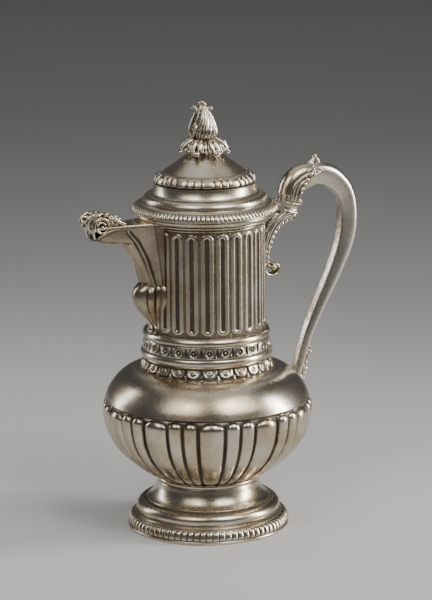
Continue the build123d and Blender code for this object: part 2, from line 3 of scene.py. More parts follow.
import bpy
import numpy as np
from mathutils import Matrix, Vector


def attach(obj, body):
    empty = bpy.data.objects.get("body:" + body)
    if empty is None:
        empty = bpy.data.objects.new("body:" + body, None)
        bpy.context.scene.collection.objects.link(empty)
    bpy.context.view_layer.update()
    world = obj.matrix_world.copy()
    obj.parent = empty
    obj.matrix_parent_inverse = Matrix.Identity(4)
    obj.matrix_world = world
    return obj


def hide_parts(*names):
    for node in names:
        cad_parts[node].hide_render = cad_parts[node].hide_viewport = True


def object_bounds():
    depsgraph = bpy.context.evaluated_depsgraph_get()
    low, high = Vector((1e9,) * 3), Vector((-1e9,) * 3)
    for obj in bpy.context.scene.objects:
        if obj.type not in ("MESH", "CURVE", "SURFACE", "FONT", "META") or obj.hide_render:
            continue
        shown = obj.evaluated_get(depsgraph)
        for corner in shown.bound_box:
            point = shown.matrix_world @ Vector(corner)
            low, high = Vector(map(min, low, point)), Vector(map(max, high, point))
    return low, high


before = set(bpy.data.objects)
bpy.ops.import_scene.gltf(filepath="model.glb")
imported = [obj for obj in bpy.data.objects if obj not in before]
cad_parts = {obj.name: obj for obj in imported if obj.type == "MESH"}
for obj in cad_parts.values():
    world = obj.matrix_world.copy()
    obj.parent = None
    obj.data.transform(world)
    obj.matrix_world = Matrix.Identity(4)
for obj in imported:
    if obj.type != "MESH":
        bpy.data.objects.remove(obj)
box_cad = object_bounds()

MM = 0.001
RNG = np.random.default_rng(7)


# ------------------------------------------------------------------ materials
def silver(name, base=(0.67, 0.60, 0.50), warm=(0.47, 0.37, 0.235), rough=0.25, patina=0.70,
           dark=0.9, scale=1.0, grain=1.0):
    """Old satin silver: bright where it is handled, brown patina in patches, black where 'cav' is high: tarnish
    together with painted shade in the recesses.
    """
    m = bpy.data.materials.new(name)
    m.use_nodes = True
    nt = m.node_tree
    nt.nodes.clear()
    out = nt.nodes.new("ShaderNodeOutputMaterial")
    sh = nt.nodes.new("ShaderNodeBsdfPrincipled")
    nt.links.new(sh.outputs[0], out.inputs[0])
    tc = nt.nodes.new("ShaderNodeTexCoord")

    def noise(sc, detail=5.0, rgh=0.55, stretch=None):
        n = nt.nodes.new("ShaderNodeTexNoise")
        n.inputs["Scale"].default_value = sc
        n.inputs["Detail"].default_value = detail
        n.inputs["Roughness"].default_value = rgh
        if stretch:
            mp = nt.nodes.new("ShaderNodeMapping")
            mp.inputs["Scale"].default_value = stretch
            nt.links.new(tc.outputs["Object"], mp.inputs[0])
            nt.links.new(mp.outputs[0], n.inputs["Vector"])
        else:
            nt.links.new(tc.outputs["Object"], n.inputs["Vector"])
        return n.outputs["Fac"]

    def ramp(src, lo, hi, a=0.0, b=1.0):
        r = nt.nodes.new("ShaderNodeMapRange")
        r.interpolation_type = "SMOOTHSTEP"
        r.inputs["From Min"].default_value = lo
        r.inputs["From Max"].default_value = hi
        r.inputs["To Min"].default_value = a
        r.inputs["To Max"].default_value = b
        nt.links.new(src, r.inputs["Value"])
        return r.outputs[0]

    def calc(op, a, b):
        n = nt.nodes.new("ShaderNodeMath")
        n.operation = op
        for i, v in enumerate((a, b)):
            if isinstance(v, (int, float)):
                n.inputs[i].default_value = v
            else:
                nt.links.new(v, n.inputs[i])
        return n.outputs[0]

    def mix(fac, a, b):
        n = nt.nodes.new("ShaderNodeMix")
        n.data_type = "RGBA"
        nt.links.new(fac, n.inputs[0])
        for s, v in ((6, a), (7, b)):
            if isinstance(v, tuple):
                n.inputs[s].default_value = (*v, 1)
            else:
                nt.links.new(v, n.inputs[s])
        return n.outputs[2]

    att = nt.nodes.new("ShaderNodeAttribute")
    att.attribute_name = "cav"
    cav = att.outputs["Fac"]
    broad = noise(38 * scale, 4)
    mott = noise(420 * scale, 6, 0.65)
    spots = noise(1500, 3, 0.6)
    fine = noise(2600, 2, 0.7)
    # tarnish and painted shade gather in the recesses and fray out along them
    fray = calc("ADD", calc("MULTIPLY", calc("SUBTRACT", mott, 0.5), 1.0), calc("MULTIPLY", calc("SUBTRACT", broad, 0.5), 0.8))
    t = calc("ADD", cav, calc("MULTIPLY", fray, calc("ADD", 0.18, cav)))
    shade_tarnish_mask = ramp(t, 0.30, 0.92, 0.0, dark)
    shade_tarnish_halo = ramp(t, 0.13, 0.60, 0.0, 0.75)
    # warm patches on the open surfaces
    patch = calc("MULTIPLY", ramp(broad, 0.38, 0.62), ramp(mott, 0.32, 0.66, 0.75, 1.0))
    patch = calc("MULTIPLY", patch, patina)
    fleck = ramp(spots, 0.70, 0.80, 0.0, 0.07)
    c = mix(patch, base, warm)
    # brown halo round the recesses: tarnish with painted shade
    c = mix(shade_tarnish_halo, c, (0.27, 0.20, 0.12))
    c = mix(fleck, c, (0.30, 0.25, 0.19))
    # near-black, non-metal where the mask is full: tarnish with painted shade in the recesses
    c = mix(shade_tarnish_mask, c, (0.013, 0.0105, 0.0085))
    nt.links.new(c, sh.inputs["Base Color"])
    nt.links.new(ramp(shade_tarnish_mask, 0.0, 0.9, 1.0, 0.0), sh.inputs["Metallic"])
    r = calc("ADD", ramp(mott, 0.25, 0.75, rough * 0.92, rough * 1.12), calc("MULTIPLY", shade_tarnish_mask, 0.34))
    r = calc("ADD", r, calc("MULTIPLY", patch, 0.03))
    nt.links.new(r, sh.inputs["Roughness"])
    # hairline scratches and a slightly uneven, hand-raised surface
    scr = noise(300, 4, 0.6, (1.0, 1.0, 9.0))
    b1 = nt.nodes.new("ShaderNodeBump")
    b1.inputs["Strength"].default_value = 0.07 * grain
    b1.inputs["Distance"].default_value = 0.0004
    nt.links.new(scr, b1.inputs["Height"])
    b2 = nt.nodes.new("ShaderNodeBump")
    b2.inputs["Strength"].default_value = 0.07 * grain
    b2.inputs["Distance"].default_value = 0.00025
    nt.links.new(fine, b2.inputs["Height"])
    nt.links.new(b1.outputs[0], b2.inputs["Normal"])
    nt.links.new(b2.outputs[0], sh.inputs["Normal"])
    return m


SILVER = silver("silver_body", rough=0.24, patina=0.85)
SILVER_LID = silver("silver_lid", patina=0.9, rough=0.27)
SILVER_CAST = silver("silver_cast", rough=0.21, patina=0.75, dark=0.95)
SILVER_HANDLE = silver("silver_handle", base=(0.72, 0.675, 0.60), rough=0.25, patina=0.55)
# darker silver for the beak and the boss: partly their heavier tarnish, partly painted shade for the dark surroundings
# they reflect
SILVER_BEAK = silver("silver_beak", base=(0.46, 0.39, 0.305), warm=(0.29, 0.215, 0.14), rough=0.27, patina=0.85)
INSIDE = silver("silver_inside", base=(0.62, 0.57, 0.49), rough=0.34, patina=0.7)
FASTENER = silver("fastener_metal", base=(0.66, 0.63, 0.58), rough=0.30, patina=0.35)


# --------------------------------------------------------------- mesh helpers
def make_object(name, verts, faces, cav, body, mat, stands_for=(), sharp=55.0):
    me = bpy.data.meshes.new(name)
    verts = np.asarray(verts, np.float32) * MM
    me.from_pydata(verts.tolist(), [], faces if isinstance(faces, list) else faces.tolist())
    me.validate()
    me.polygons.foreach_set("use_smooth", np.ones(len(me.polygons), bool))
    if sharp is not None:
        me.set_sharp_from_angle(angle=math.radians(sharp))
    a = me.attributes.new("cav", "FLOAT", "POINT")
    c = np.zeros(len(me.vertices), np.float32) if cav is None else np.asarray(cav, np.float32)
    if len(c) != len(me.vertices):
        c = np.resize(c, len(me.vertices))
    a.data.foreach_set("value", c)
    me.materials.append(mat)
    o = bpy.data.objects.new(name, me)
    bpy.context.scene.collection.objects.link(o)
    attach(o, body)
    if stands_for:
        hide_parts(*stands_for)
    return o


def smooth_run(pts, n):
    """n points along a centripetal Catmull-Rom curve through pts, evenly spaced."""
    p = np.asarray(pts, float)
    if len(p) == 2:
        return p[0] + (p[1] - p[0]) * np.linspace(0, 1, n)[:, None]
    q = np.vstack([2 * p[0] - p[1], p, 2 * p[-1] - p[-2]])
    out = []
    for i in range(1, len(q) - 2):
        p0, p1, p2, p3 = q[i - 1], q[i], q[i + 1], q[i + 2]
        t0 = 0.0
        t1 = t0 + np.linalg.norm(p1 - p0) ** 0.5 + 1e-9
        t2 = t1 + np.linalg.norm(p2 - p1) ** 0.5 + 1e-9
        t3 = t2 + np.linalg.norm(p3 - p2) ** 0.5 + 1e-9
        t = np.linspace(t1, t2, 24)[:, None]
        a1 = (t1 - t) / (t1 - t0) * p0 + (t - t0) / (t1 - t0) * p1
        a2 = (t2 - t) / (t2 - t1) * p1 + (t - t1) / (t2 - t1) * p2
        a3 = (t3 - t) / (t3 - t2) * p2 + (t - t2) / (t3 - t2) * p3
        b1 = (t2 - t) / (t2 - t0) * a1 + (t - t0) / (t2 - t0) * a2
        b2 = (t3 - t) / (t3 - t1) * a2 + (t - t1) / (t3 - t1) * a3
        out.append((t2 - t) / (t2 - t1) * b1 + (t - t1) / (t2 - t1) * b2)
    c = np.vstack(out)
    d = np.r_[0, np.cumsum(np.linalg.norm(np.diff(c, axis=0), axis=1))]
    s = np.linspace(0, d[-1], n)
    return np.stack([np.interp(s, d, c[:, k]) for k in range(c.shape[1])], 1)


def profile(*runs):
    """Runs of (points, count) joined end to end, corners kept."""
    out = []
    for pts, n in runs:
        r = smooth_run(pts, n)
        if out and np.linalg.norm(out[-1][-1] - r[0]) < 1e-6:
            r = r[1:]
        out.append(r)
    return np.vstack(out)


def lathe(name, outer, inner, alpha, body, mat=None, stands_for=(), relief=None, sharp=55.0,
          base_cav=None):
    """A closed wall turned about Z. outer runs along the visible side, inner back along the hidden side.
    relief(r, z, s, alpha) gives the height off the outer surface in mm and the tarnish with painted shade there."""
    alpha = np.asarray(alpha, float)
    na, nu = len(alpha), len(outer)
    ca, sa = np.cos(np.radians(alpha)), np.sin(np.radians(alpha))
    d = np.gradient(outer, axis=0)
    nrm = np.stack([d[:, 1], -d[:, 0]], 1)
    nrm /= np.linalg.norm(nrm, axis=1)[:, None] + 1e-12
    # outward: away from the inner profile
    mid = outer.mean(0)
    if inner is not None and ((nrm * (outer - np.asarray(inner).mean(0))).sum() < 0):
        nrm = -nrm
    s = np.r_[0, np.cumsum(np.linalg.norm(np.diff(outer, axis=0), axis=1))]
    h = np.zeros((nu, na))
    c = np.zeros((nu, na))
    if relief is not None:
        h, c = relief(outer[:, 0][:, None], outer[:, 1][:, None], s[:, None], alpha[None, :])
        h = np.broadcast_to(h, (nu, na))
        c = np.broadcast_to(c, (nu, na))
    if base_cav is not None:
        c = np.maximum(c, base_cav(outer[:, 0], outer[:, 1])[:, None])
    R = outer[:, 0][:, None] + nrm[:, 0][:, None] * h
    Z = outer[:, 1][:, None] + nrm[:, 1][:, None] * h
    rows_r, rows_z, rows_c = [R], [Z], [c]
    if inner is not None:
        inner = np.asarray(inner, float)
        rows_r.append(np.repeat(inner[:, 0][:, None], na, 1))
        rows_z.append(np.repeat(inner[:, 1][:, None], na, 1))
        # hidden inner faces: a flat painted shade ('cav' 0.35)
        rows_c.append(np.full((len(inner), na), 0.35))
    R, Z, C = np.vstack(rows_r), np.vstack(rows_z), np.vstack(rows_c)
    X, Y = R * ca, R * sa
    V = np.stack([X, Y, Z], -1).reshape(-1, 3)
    nr = len(R)
    i, j = np.meshgrid(np.arange(nr), np.arange(na), indexing="ij")
    i2, j2 = (i + 1) % nr, (j + 1) % na
    F = np.stack([i * na + j, i * na + j2, i2 * na + j2, i2 * na + j], -1).reshape(-1, 4)
    o = make_object(name, V, F, C.ravel(), body, mat or SILVER, stands_for, sharp)
    fix_normals(o)
    return o


def fix_normals(o):
    """Turns a closed mesh's faces outwards."""
    me = o.data
    n = len(me.vertices)
    co = np.zeros(n * 3)
    me.vertices.foreach_get("co", co)
    co = co.reshape(-1, 3)
    me.calc_loop_triangles()
    tri = np.zeros(len(me.loop_triangles) * 3, np.int64)
    me.loop_triangles.foreach_get("vertices", tri)
    tri = tri.reshape(-1, 3)
    a, b, c = co[tri[:, 0]], co[tri[:, 1]], co[tri[:, 2]]
    if (a * np.cross(b, c)).sum() < 0:
        me.flip_normals()


def sstep(x, a, b):
    t = np.clip((x - a) / (b - a), 0, 1)
    return t * t * (3 - 2 * t)


def centred(alpha, first, pitch):
    """Angle from the nearest repeat's centre, in degrees."""
    return (alpha - first + pitch / 2) % pitch - pitch / 2


def even(n, phase=0.0):
    return phase + np.arange(n) * 360.0 / n


# ------------------------------------------------------------- lobed bodywork
# eleven repeats of one broad lobe and two narrow ones
WIDE, NARROW, PITCH = 15.45, 8.64, 360.0 / 11


def lobe_angles(first, n_wide=20, n_narrow=13):
    """Angles crowded towards the grooves between the lobes."""
    out = []
    for k in range(11):
        c0 = first + k * PITCH
        for c, w, n in ((c0, WIDE, n_wide), (c0 + (WIDE + NARROW) / 2, NARROW, n_narrow),
                        (c0 + (WIDE + 3 * NARROW) / 2, NARROW, n_narrow)):
            t = np.linspace(-1, 1, n, endpoint=False) + 1.0 / n
            out.append(c + w / 2 * np.sin(t * math.pi / 2) * 0.97)
            out.append(np.array([c + w / 2]))
    return np.sort(np.concatenate(out) % 360.0)


def lobe_field(alpha, first):
    """(offset from the lobe's centre in degrees, the lobe's half width in degrees)."""
    a = centred(alpha, first + (WIDE + NARROW * 2) / 2 - WIDE / 2, PITCH)
    a = a + PITCH / 2                                # 0..PITCH from the broad lobe's left edge
    wide = a < WIDE
    first_n = (a >= WIDE) & (a < WIDE + NARROW)
    off = np.where(wide, a - WIDE / 2, np.where(first_n, a - WIDE - NARROW / 2, a - WIDE - NARROW * 1.5))
    half = np.where(wide, WIDE / 2, NARROW / 2)
    return off, half


BOWL = [(33.0, 34.9), (38.5, 36.7), (42.8, 39.3), (47.5, 42.6), (51.5, 45.9), (55.8, 49.8), (59.4, 53.7),
        (62.3, 57.6), (64.9, 62.2), (66.9, 66.8), (68.2, 72.0), (69.0, 77.3), (69.1, 81.9), (68.4, 85.2),
        (67.5, 87.1)]
SHOULDER = [(67.5, 87.1), (65.9, 91.4), (63.9, 95.0), (61.5, 98.3), (58.4, 101.6), (54.4, 104.6),
            (49.6, 106.7), (43.8, 108.1)]


def offset(pts, t):
    p = np.asarray(pts, float)
    d = np.gradient(p, axis=0)
    n = np.stack([-d[:, 1], d[:, 0]], 1)
    n /= np.linalg.norm(n, axis=1)[:, None]
    return p + n * t


BODY_FIRST = 2.65 - 120


def body_relief(r, z, s, alpha):
    off, half = lobe_field(alpha, BODY_FIRST)
    total = s.max()
    b = total - s                                    # distance below the line above the lobes
    gap = 0.66
    W = np.maximum(np.radians(half) * r - gap, 0.3)
    a = np.abs(np.radians(off) * r)
    cap = np.where(half > 6, 7.0, 4.9)
    up = np.maximum(cap - (b - 0.9), 0) / cap
    low = np.maximum(3.0 - s, 0) / 3.0 * 0.55
    rho = np.sqrt((a / W) ** 2 + up ** 2 + low ** 2)
    dome = np.sqrt(np.clip(1 - rho ** 2.0, 0, 1))
    deep = np.where(half > 6, 3.3, 2.7) * np.clip((r - 28) / 38, 0.25, 1.0)
    edge = sstep(b, 0.0, 0.8)                        # flush with the line at the very top
    h = -deep * (1 - dome) * edge + 0.35 * (1 - edge) * 0
    out = rho >= 1
    # grooves round the lobes, the spandrels and the line above them are darkened: tarnish with painted shade
    c = np.where(out, 1.0, sstep(rho, 0.84, 1.0) * 0.9)
    c = np.where(out & (b < cap * 0.5), 0.72, c)     # spandrels between the lobe ends
    c = np.maximum(c, 1.0 - sstep(b, 0.2, 0.95))
    c = np.maximum(c, sstep(0.3 + 0 * s, 0, 1) * np.clip(1.6 - s, 0, 1.6) / 1.6)
    return h, c


bowl_out = profile((BOWL, 96))
bowl_in = profile(([tuple(p) for p in offset(BOWL, 4.2)[::-1][:-1]] + [(31.0, 38.4)], 22), ([(31.0, 38.4), (2.0, 38.2)], 3))
bowl_floor = profile(([(2.0, 34.9), (33.0, 34.9)], 3))
A = lobe_angles(BODY_FIRST)


def bowl_mesh():
    # the floor under the foot's collar closes the lower end
    outer = bowl_out
    inner = np.vstack([[(66.4, 87.1)], bowl_in[1:], [(0.4, 38.2), (0.4, 34.9)], [(30.0, 34.9)]])
    return lathe("lower_body_lobed", outer, inner, A, "pot", SILVER, ("lower_body",),
                 body_relief)


bowl_mesh()

# plain shoulder
sh_out = profile((SHOULDER, 44))
sh_in = profile(([tuple(p) for p in offset(SHOULDER, 1.0)[::-1]], 20))
sh_in[0] = (41.8, 107.1)
sh_in[-1] = (66.4, 87.1)


# darker where the shoulder meets the lobes and the neck band: tarnish with painted shade at the joins
def shoulder_cav(r, z):
    return np.maximum(0.85 * (1 - sstep(z, 87.2, 88.3)), 0.7 * sstep(z, 107.3, 108.05))


lathe("shoulder_raised", np.vstack([sh_out, [(41.8, 108.1)]]), sh_in, even(256), "pot", SILVER,
      ("shoulder",), base_cav=shoulder_cav)

# ------------------------------------------------------------------- the foot
fs_out = profile(([(49.0, 9.2), (48.1, 10.1), (47.1, 10.9)], 5),
                 ([(47.1, 10.9), (47.6, 13.0), (46.9, 15.6), (44.7, 17.7), (42.6, 18.4), (41.1, 18.5)], 22),
                 ([(41.1, 18.5), (40.6, 19.2), (38.4, 20.9), (36.2, 23.6), (34.5, 27.2), (33.6, 31.0),
                   (33.3, 31.6)], 26))
fs_in = profile(([(32.3, 31.6), (33.2, 27.3), (35.1, 23.0), (37.7, 19.9), (40.8, 17.5), (43.6, 16.7),
                  (45.6, 15.0), (46.4, 13.0), (46.2, 9.2)], 24))


# darker at the steps and joins of the foot: tarnish with painted shade
def foot_cav(r, z):
    return np.maximum.reduce([0.9 * np.exp(-((z - 10.9) / 0.55) ** 2), 0.9 * np.exp(-((z - 18.6) / 0.5) ** 2),
                              0.6 * sstep(z, 30.6, 31.5), 0.8 * (1 - sstep(z, 9.2, 10.2))])


lathe("foot_raised", fs_out, fs_in, even(220), "pot", SILVER, ("foot_shell",), base_cav=foot_cav)

fc_out = profile(([(33.4, 31.6), (34.2, 32.3), (34.3, 33.4), (33.9, 34.3), (33.0, 34.9)], 14))
# darker at the collar's joins: tarnish with painted shade
lathe("foot_collar_ring", fc_out, np.array([(29.5, 34.9), (29.5, 31.6)]), even(160), "pot", SILVER,
      ("foot_collar",), base_cav=lambda r, z: np.maximum(0.9 * sstep(z, 34.1, 34.8), 0.7 * (1 - sstep(z, 31.6, 32.2))))

fb_out = profile(([(53.0, 0.0), (53.3, 0.25), (53.3, 1.7), (52.9, 2.2)], 7),
                 ([(52.9, 2.2), (53.1, 3.4), (52.7, 5.4), (51.9, 7.2), (51.1, 8.1)], 15),
                 ([(51.1, 8.1), (50.7, 8.6), (50.1, 9.0), (49.2, 9.2)], 6))
fb_in = profile(([(46.2, 9.2), (46.2, 7.9), (49.3, 7.9)], 4), ([(49.3, 7.9), (50.7, 6.7), (51.5, 4.9), (51.8, 2.8), (51.8, 0.0)], 8))


def foot_ribs(r, z, s, alpha):
    a = centred(alpha, 0.9, 360 / 78) * (78 / 180.0)          # -1..1 across one rib
    band = sstep(z, 2.3, 3.3) * (1 - sstep(z, 7.4, 8.3))
    rib = np.sqrt(np.clip(1 - np.abs(a) ** 2.6, 0, 1))
    h = band * (0.25 - 1.15 * (1 - rib))
    h = h - 0.35 * np.exp(-((z - 2.35) / 0.28) ** 2)
    # dark between the ribs and in the grooves: tarnish with painted shade
    c = band * sstep(np.abs(a), 0.62, 0.98) * 1.0
    c = np.maximum(c, 0.95 * np.exp(-((z - 2.35) / 0.4) ** 2))
    c = np.maximum(c, 0.75 * np.exp(-((z - 8.3) / 0.4) ** 2))
    return h, c


def rib_angles(n, per):
    out = []
    t = np.linspace(-1, 1, per, endpoint=False) + 1.0 / per
    for k in range(n):
        out.append(0.9 + k * 360 / n + 180 / n * np.sin(t * math.pi / 2))
    return np.sort(np.concatenate(out) % 360)


lathe("foot_ribbed_border", fb_out, fb_in, rib_angles(78, 9), "pot", SILVER, ("foot_border",),
      foot_ribs)

# ---------------------------------------------------------- bands on the neck
LB_FIRST = 2.7 - 120
lb_out = profile(([(43.7, 108.1), (43.2, 110.2), (42.3, 112.4), (41.6, 114.3)], 34))
lb_in = profile(([(40.4, 114.3), (41.0, 112.4), (41.7, 110.2), (42.0, 108.1)], 6))


def leaf_scales(r, z, s, alpha):
    a = np.radians(centred(alpha, LB_FIRST, 14.4)) * r
    b = 114.3 - z
    d = np.sqrt((a / 1.19) ** 2 + np.maximum(b - 1.75, 0) ** 2)
    d = np.where(b < 1.75, np.abs(a) / 1.19, d)
    inside = d < 4.35
    shell = np.sqrt(np.clip(1 - (d / 4.35) ** 10, 0, 1))
    h = np.where(inside, -0.95 + 0.95 * shell, -0.95)
    h = h + np.where(inside, 0.22 * np.exp(-((d - 3.1) / 0.4) ** 2), 0)
    q = np.sqrt(a ** 2 + (b - 2.6) ** 2)
    h = h + 0.42 * np.exp(-((q - 1.15) / 0.38) ** 2) + 0.35 * np.exp(-(q / 0.45) ** 2)
    # scale outlines, the eye rings and the ground between the scales are darkened: tarnish with painted shade
    c = np.where(inside, 0.95 * sstep(d, 3.75, 4.2), 0.95)
    c = np.maximum(c, 0.95 * np.exp(-((q - 0.85) / 0.45) ** 2))
    c = np.maximum(c, 0.45 * np.exp(-((q - 1.85) / 0.4) ** 2))
    # small leaf points between the scales
    a2 = np.radians(centred(alpha, LB_FIRST + 7.2, 14.4)) * r
    wide = np.clip((b - 2.6) / 3.4, 0, 1) * 1.35
    pt = np.sqrt(np.clip(1 - (np.abs(a2) / np.maximum(wide, 0.05)) ** 2, 0, 1)) * (b > 2.6)
    lift = pt * 1.15 * (~inside)
    h = np.maximum(h, np.where(inside, -9, -0.95 + 0.8 * lift))
    c = np.where((~inside) & (pt > 0.35), 0.15, c)
    c = np.maximum(c, 0.9 * (1 - sstep(b, 0.2, 1.0)))
    c = np.maximum(c, 0.75 * sstep(b, 5.9, 6.2))
    return h, c


lathe("neck_leaf_border", lb_out, lb_in, even(25 * 34, LB_FIRST), "pot", SILVER_CAST, ("leaf_band",),
      leaf_scales, sharp=60)

lt_out = profile(([(41.5, 114.3), (42.6, 115.5), (43.3, 117.2), (43.35, 119.0), (42.9, 120.2), (42.5, 120.7)], 20))
# darker at the moulding's joins: tarnish with painted shade
lathe("neck_lower_moulding", lt_out, np.array([(41.2, 120.7), (42.0, 118.5), (41.5, 116.1), (40.4, 114.3)]), even(220), "pot",
      SILVER, ("lower_neck_torus",),
      base_cav=lambda r, z: np.maximum(0.8 * (1 - sstep(z, 114.3, 115.2)), 0.85 * sstep(z, 120.0, 120.6)))

FR_FIRST = 2.8 - 120
fr_out = profile(([(42.2, 120.7), (42.2, 121.7)], 4), ([(42.2, 121.7), (41.9, 123.0), (41.5, 125.5), (41.35, 128.2)], 30),
                 ([(41.35, 128.2), (41.4, 129.2)], 4))


def frieze_relief(r, z, s, alpha):
    a = np.radians(centred(alpha, FR_FIRST, 14.4)) * r
    a2 = np.radians(centred(alpha, FR_FIRST + 7.2, 14.4)) * r
    zc = z - 124.95
    q = np.sqrt(a ** 2 + zc ** 2)
    h = -0.85 * np.exp(-((q - 1.25) / 0.62) ** 4) + 0.25 * np.exp(-((q - 2.35) / 0.5) ** 2)
    # dark roundel centres, sunk lenses and band edges: tarnish with painted shade
    c = np.where(q < 1.35, sstep(q, 0.35, 0.75), np.exp(-((q - 1.35) / 0.65) ** 4))
    lens = np.abs(a2) / (0.95 * np.sqrt(np.clip(1 - (zc / 3.1) ** 2, 0.0004, 1)))
    inl = np.abs(zc) < 3.08
    dip = np.where(inl, np.sqrt(np.clip(1 - lens ** 2, 0, 1)), 0)
    h = h - 0.85 * dip
    c = np.maximum(c, np.where(inl, sstep(1.25 - lens, 0, 0.4), 0))
    edge = np.maximum(sstep(np.abs(zc), 3.3, 4.0), 0)
    c = np.maximum(c, 0.85 * edge)
    h = h - 0.35 * np.exp(-((np.abs(zc) - 3.9) / 0.35) ** 2)
    return h, c


lathe("neck_frieze", fr_out, np.array([(40.1, 129.2), (41.0, 120.7)]), even(25 * 40, FR_FIRST), "pot",
      SILVER_CAST, ("frieze_band",), frieze_relief, sharp=60)

ut_out = profile(([(41.3, 129.2), (41.9, 130.4), (41.7, 132.0), (40.9, 133.3), (39.8, 134.0), (38.6, 134.3)], 20))
# darker at the moulding's joins: tarnish with painted shade
lathe("neck_upper_moulding", ut_out, np.array([(37.0, 134.3), (37.0, 133.4), (38.8, 132.8), (40.4, 131.0), (40.1, 129.2)]),
      even(220), "pot", SILVER, ("upper_neck_torus",),
      base_cav=lambda r, z: np.maximum(0.85 * (1 - sstep(z, 129.2, 130.0)), 0.7 * sstep(z, 133.8, 134.2)))

# flutes: 24 round-ended loops, each a broad bead round a sunk slot
FL_FIRST = 1.6 - 120
FL_TOP, FL_BOT, FL_R = 202.9, 135.6, 4.32


def flute_relief(r, z, s, alpha):
    a = np.radians(centred(alpha, FL_FIRST, 15.0)) * 38.0
    zc = np.maximum(np.maximum(z - (FL_TOP - FL_R), (FL_BOT + FL_R) - z), 0)
    q = np.sqrt(a ** 2 + zc ** 2)                      # distance from the slot's spine
    slot_r, out_r = 1.15, FL_R
    t = (q - slot_r) / (out_r - slot_r)
    bead = np.sqrt(np.clip(1 - np.abs(2 * t - 1) ** 2.4, 0, 1))
    inside = q < slot_r
    loop = (~inside) & (t < 1)
    h = np.where(loop, 0.12 + 0.95 * bead, 0.10)
    h = np.where(inside, 0.04, h)
    rest = t >= 1
    a2 = np.abs(np.radians(centred(alpha, FL_FIRST + 7.5, 15.0)) * 38.0)
    h = np.where(rest, 0.10 + 0.30 * np.exp(-(a2 / 0.5) ** 2), h)
    # slots near-black, loop edges and the ground between loops darkened: tarnish with painted shade, darker than the
    # shallow slots would shade
    c = np.where(inside, 0.93 + 0 * q, 0)
    c = np.where(loop, np.maximum(0.8 * (1 - sstep(t, 0.0, 0.16)), 0.75 * sstep(t, 0.88, 1.0)), c)
    c = np.where(rest, 0.62, c)
    end = np.maximum(sstep(z, 203.0, 203.6), 1 - sstep(z, 134.6, 135.3))
    c = np.maximum(c, 0.85 * end)
    return h, c


fl_u = np.concatenate([np.linspace(134.3, 142.0, 24), np.linspace(144.5, 194.0, 18), np.linspace(196.5, 203.9, 24)])
fl_out = np.stack([np.full(len(fl_u), 38.0), fl_u], 1)
fl_t = []
for k in range(24):
    c0 = FL_FIRST + 15 * k
    for e in (0.0, 0.45, 0.9, 1.12, 1.22, 1.45, 1.8, 2.2, 2.7, 3.2, 3.65, 4.0, 4.24, 4.36, 4.6, 4.9):
        d = math.degrees(e / 38.0)
        fl_t += [c0 + d] if e == 0 else [c0 + d, c0 - d]
fl_t = np.sort(np.array(fl_t) % 360)
lathe("neck_fluted_skin", fl_out, np.array([(37.9, 203.9), (37.9, 134.3)]), fl_t, "pot", SILVER, (),
      flute_relief, sharp=60)

# rim moulding: bead, fillet, two rolls
nr_out = profile(([(38.9, 203.9), (39.5, 204.1), (39.6, 204.6), (39.3, 205.0)], 8),
                 ([(39.3, 205.0), (40.2, 205.5), (41.6, 206.2), (42.3, 207.0), (42.0, 207.6)], 10),
                 ([(42.0, 207.6), (43.4, 208.0), (45.2, 208.8), (46.1, 209.9), (46.2, 210.9), (45.9, 211.4)], 14))
# darker in the rim moulding's quirks and at its ends: tarnish with painted shade
lathe("neck_rim_moulding", nr_out, np.array([(37.0, 211.4), (37.0, 203.9)]), even(240), "pot", SILVER,
      ("neck_rim",), base_cav=lambda r, z: np.maximum.reduce([0.9 * np.exp(-((z - 205.05) / 0.3) ** 2), 0.9 * np.exp(-((z - 207.65) / 0.3) ** 2),
                                                             0.8 * (1 - sstep(z, 203.9, 204.2)), 0.6 * sstep(z, 211.0, 211.4)]))

# -------------------------------------------------------------------- the lid
lo_out = profile(([(47.2, 211.7), (47.8, 212.3), (47.7, 213.0)], 5),
                 ([(47.7, 213.0), (47.5, 214.0), (46.6, 215.5), (45.2, 216.6)], 14),
                 ([(45.2, 216.6), (43.4, 217.5), (41.6, 218.1), (40.2, 218.4)], 9))
lo_in = profile(([(37.2, 218.4), (37.2, 211.7), (38.4, 211.7), (38.4, 217.2)], 5),
                ([(38.4, 217.2), (41.4, 216.9), (43.7, 216.3), (45.4, 215.2), (46.4, 213.6), (46.4, 211.7)], 8))


def lid_ribs(r, z, s, alpha):
    a = centred(alpha, 0.9, 3.6) / 1.8
    band = sstep(z, 212.9, 213.5) * (1 - sstep(z, 216.2, 216.8))
    rib = np.sqrt(np.clip(1 - np.abs(a) ** 2.4, 0, 1))
    h = band * (0.10 - 0.95 * (1 - rib)) - 0.3 * np.exp(-((z - 216.75) / 0.25) ** 2) - 0.25 * np.exp(-((z - 212.85) / 0.2) ** 2)
    # dark between the ribs and in the grooves: tarnish with painted shade
    c = band * sstep(np.abs(a), 0.6, 0.98)
    c = np.maximum(c, 0.9 * np.exp(-((z - 216.75) / 0.35) ** 2))
    c = np.maximum(c, 0.8 * np.exp(-((z - 212.85) / 0.25) ** 2))
    c = np.maximum(c, 0.8 * sstep(z, 218.0, 218.4))
    return h, c


lathe("lid_ribbed_border", lo_out, lo_in, rib_angles(100, 8), "lid", SILVER_LID, ("lid_border",), lid_ribs)

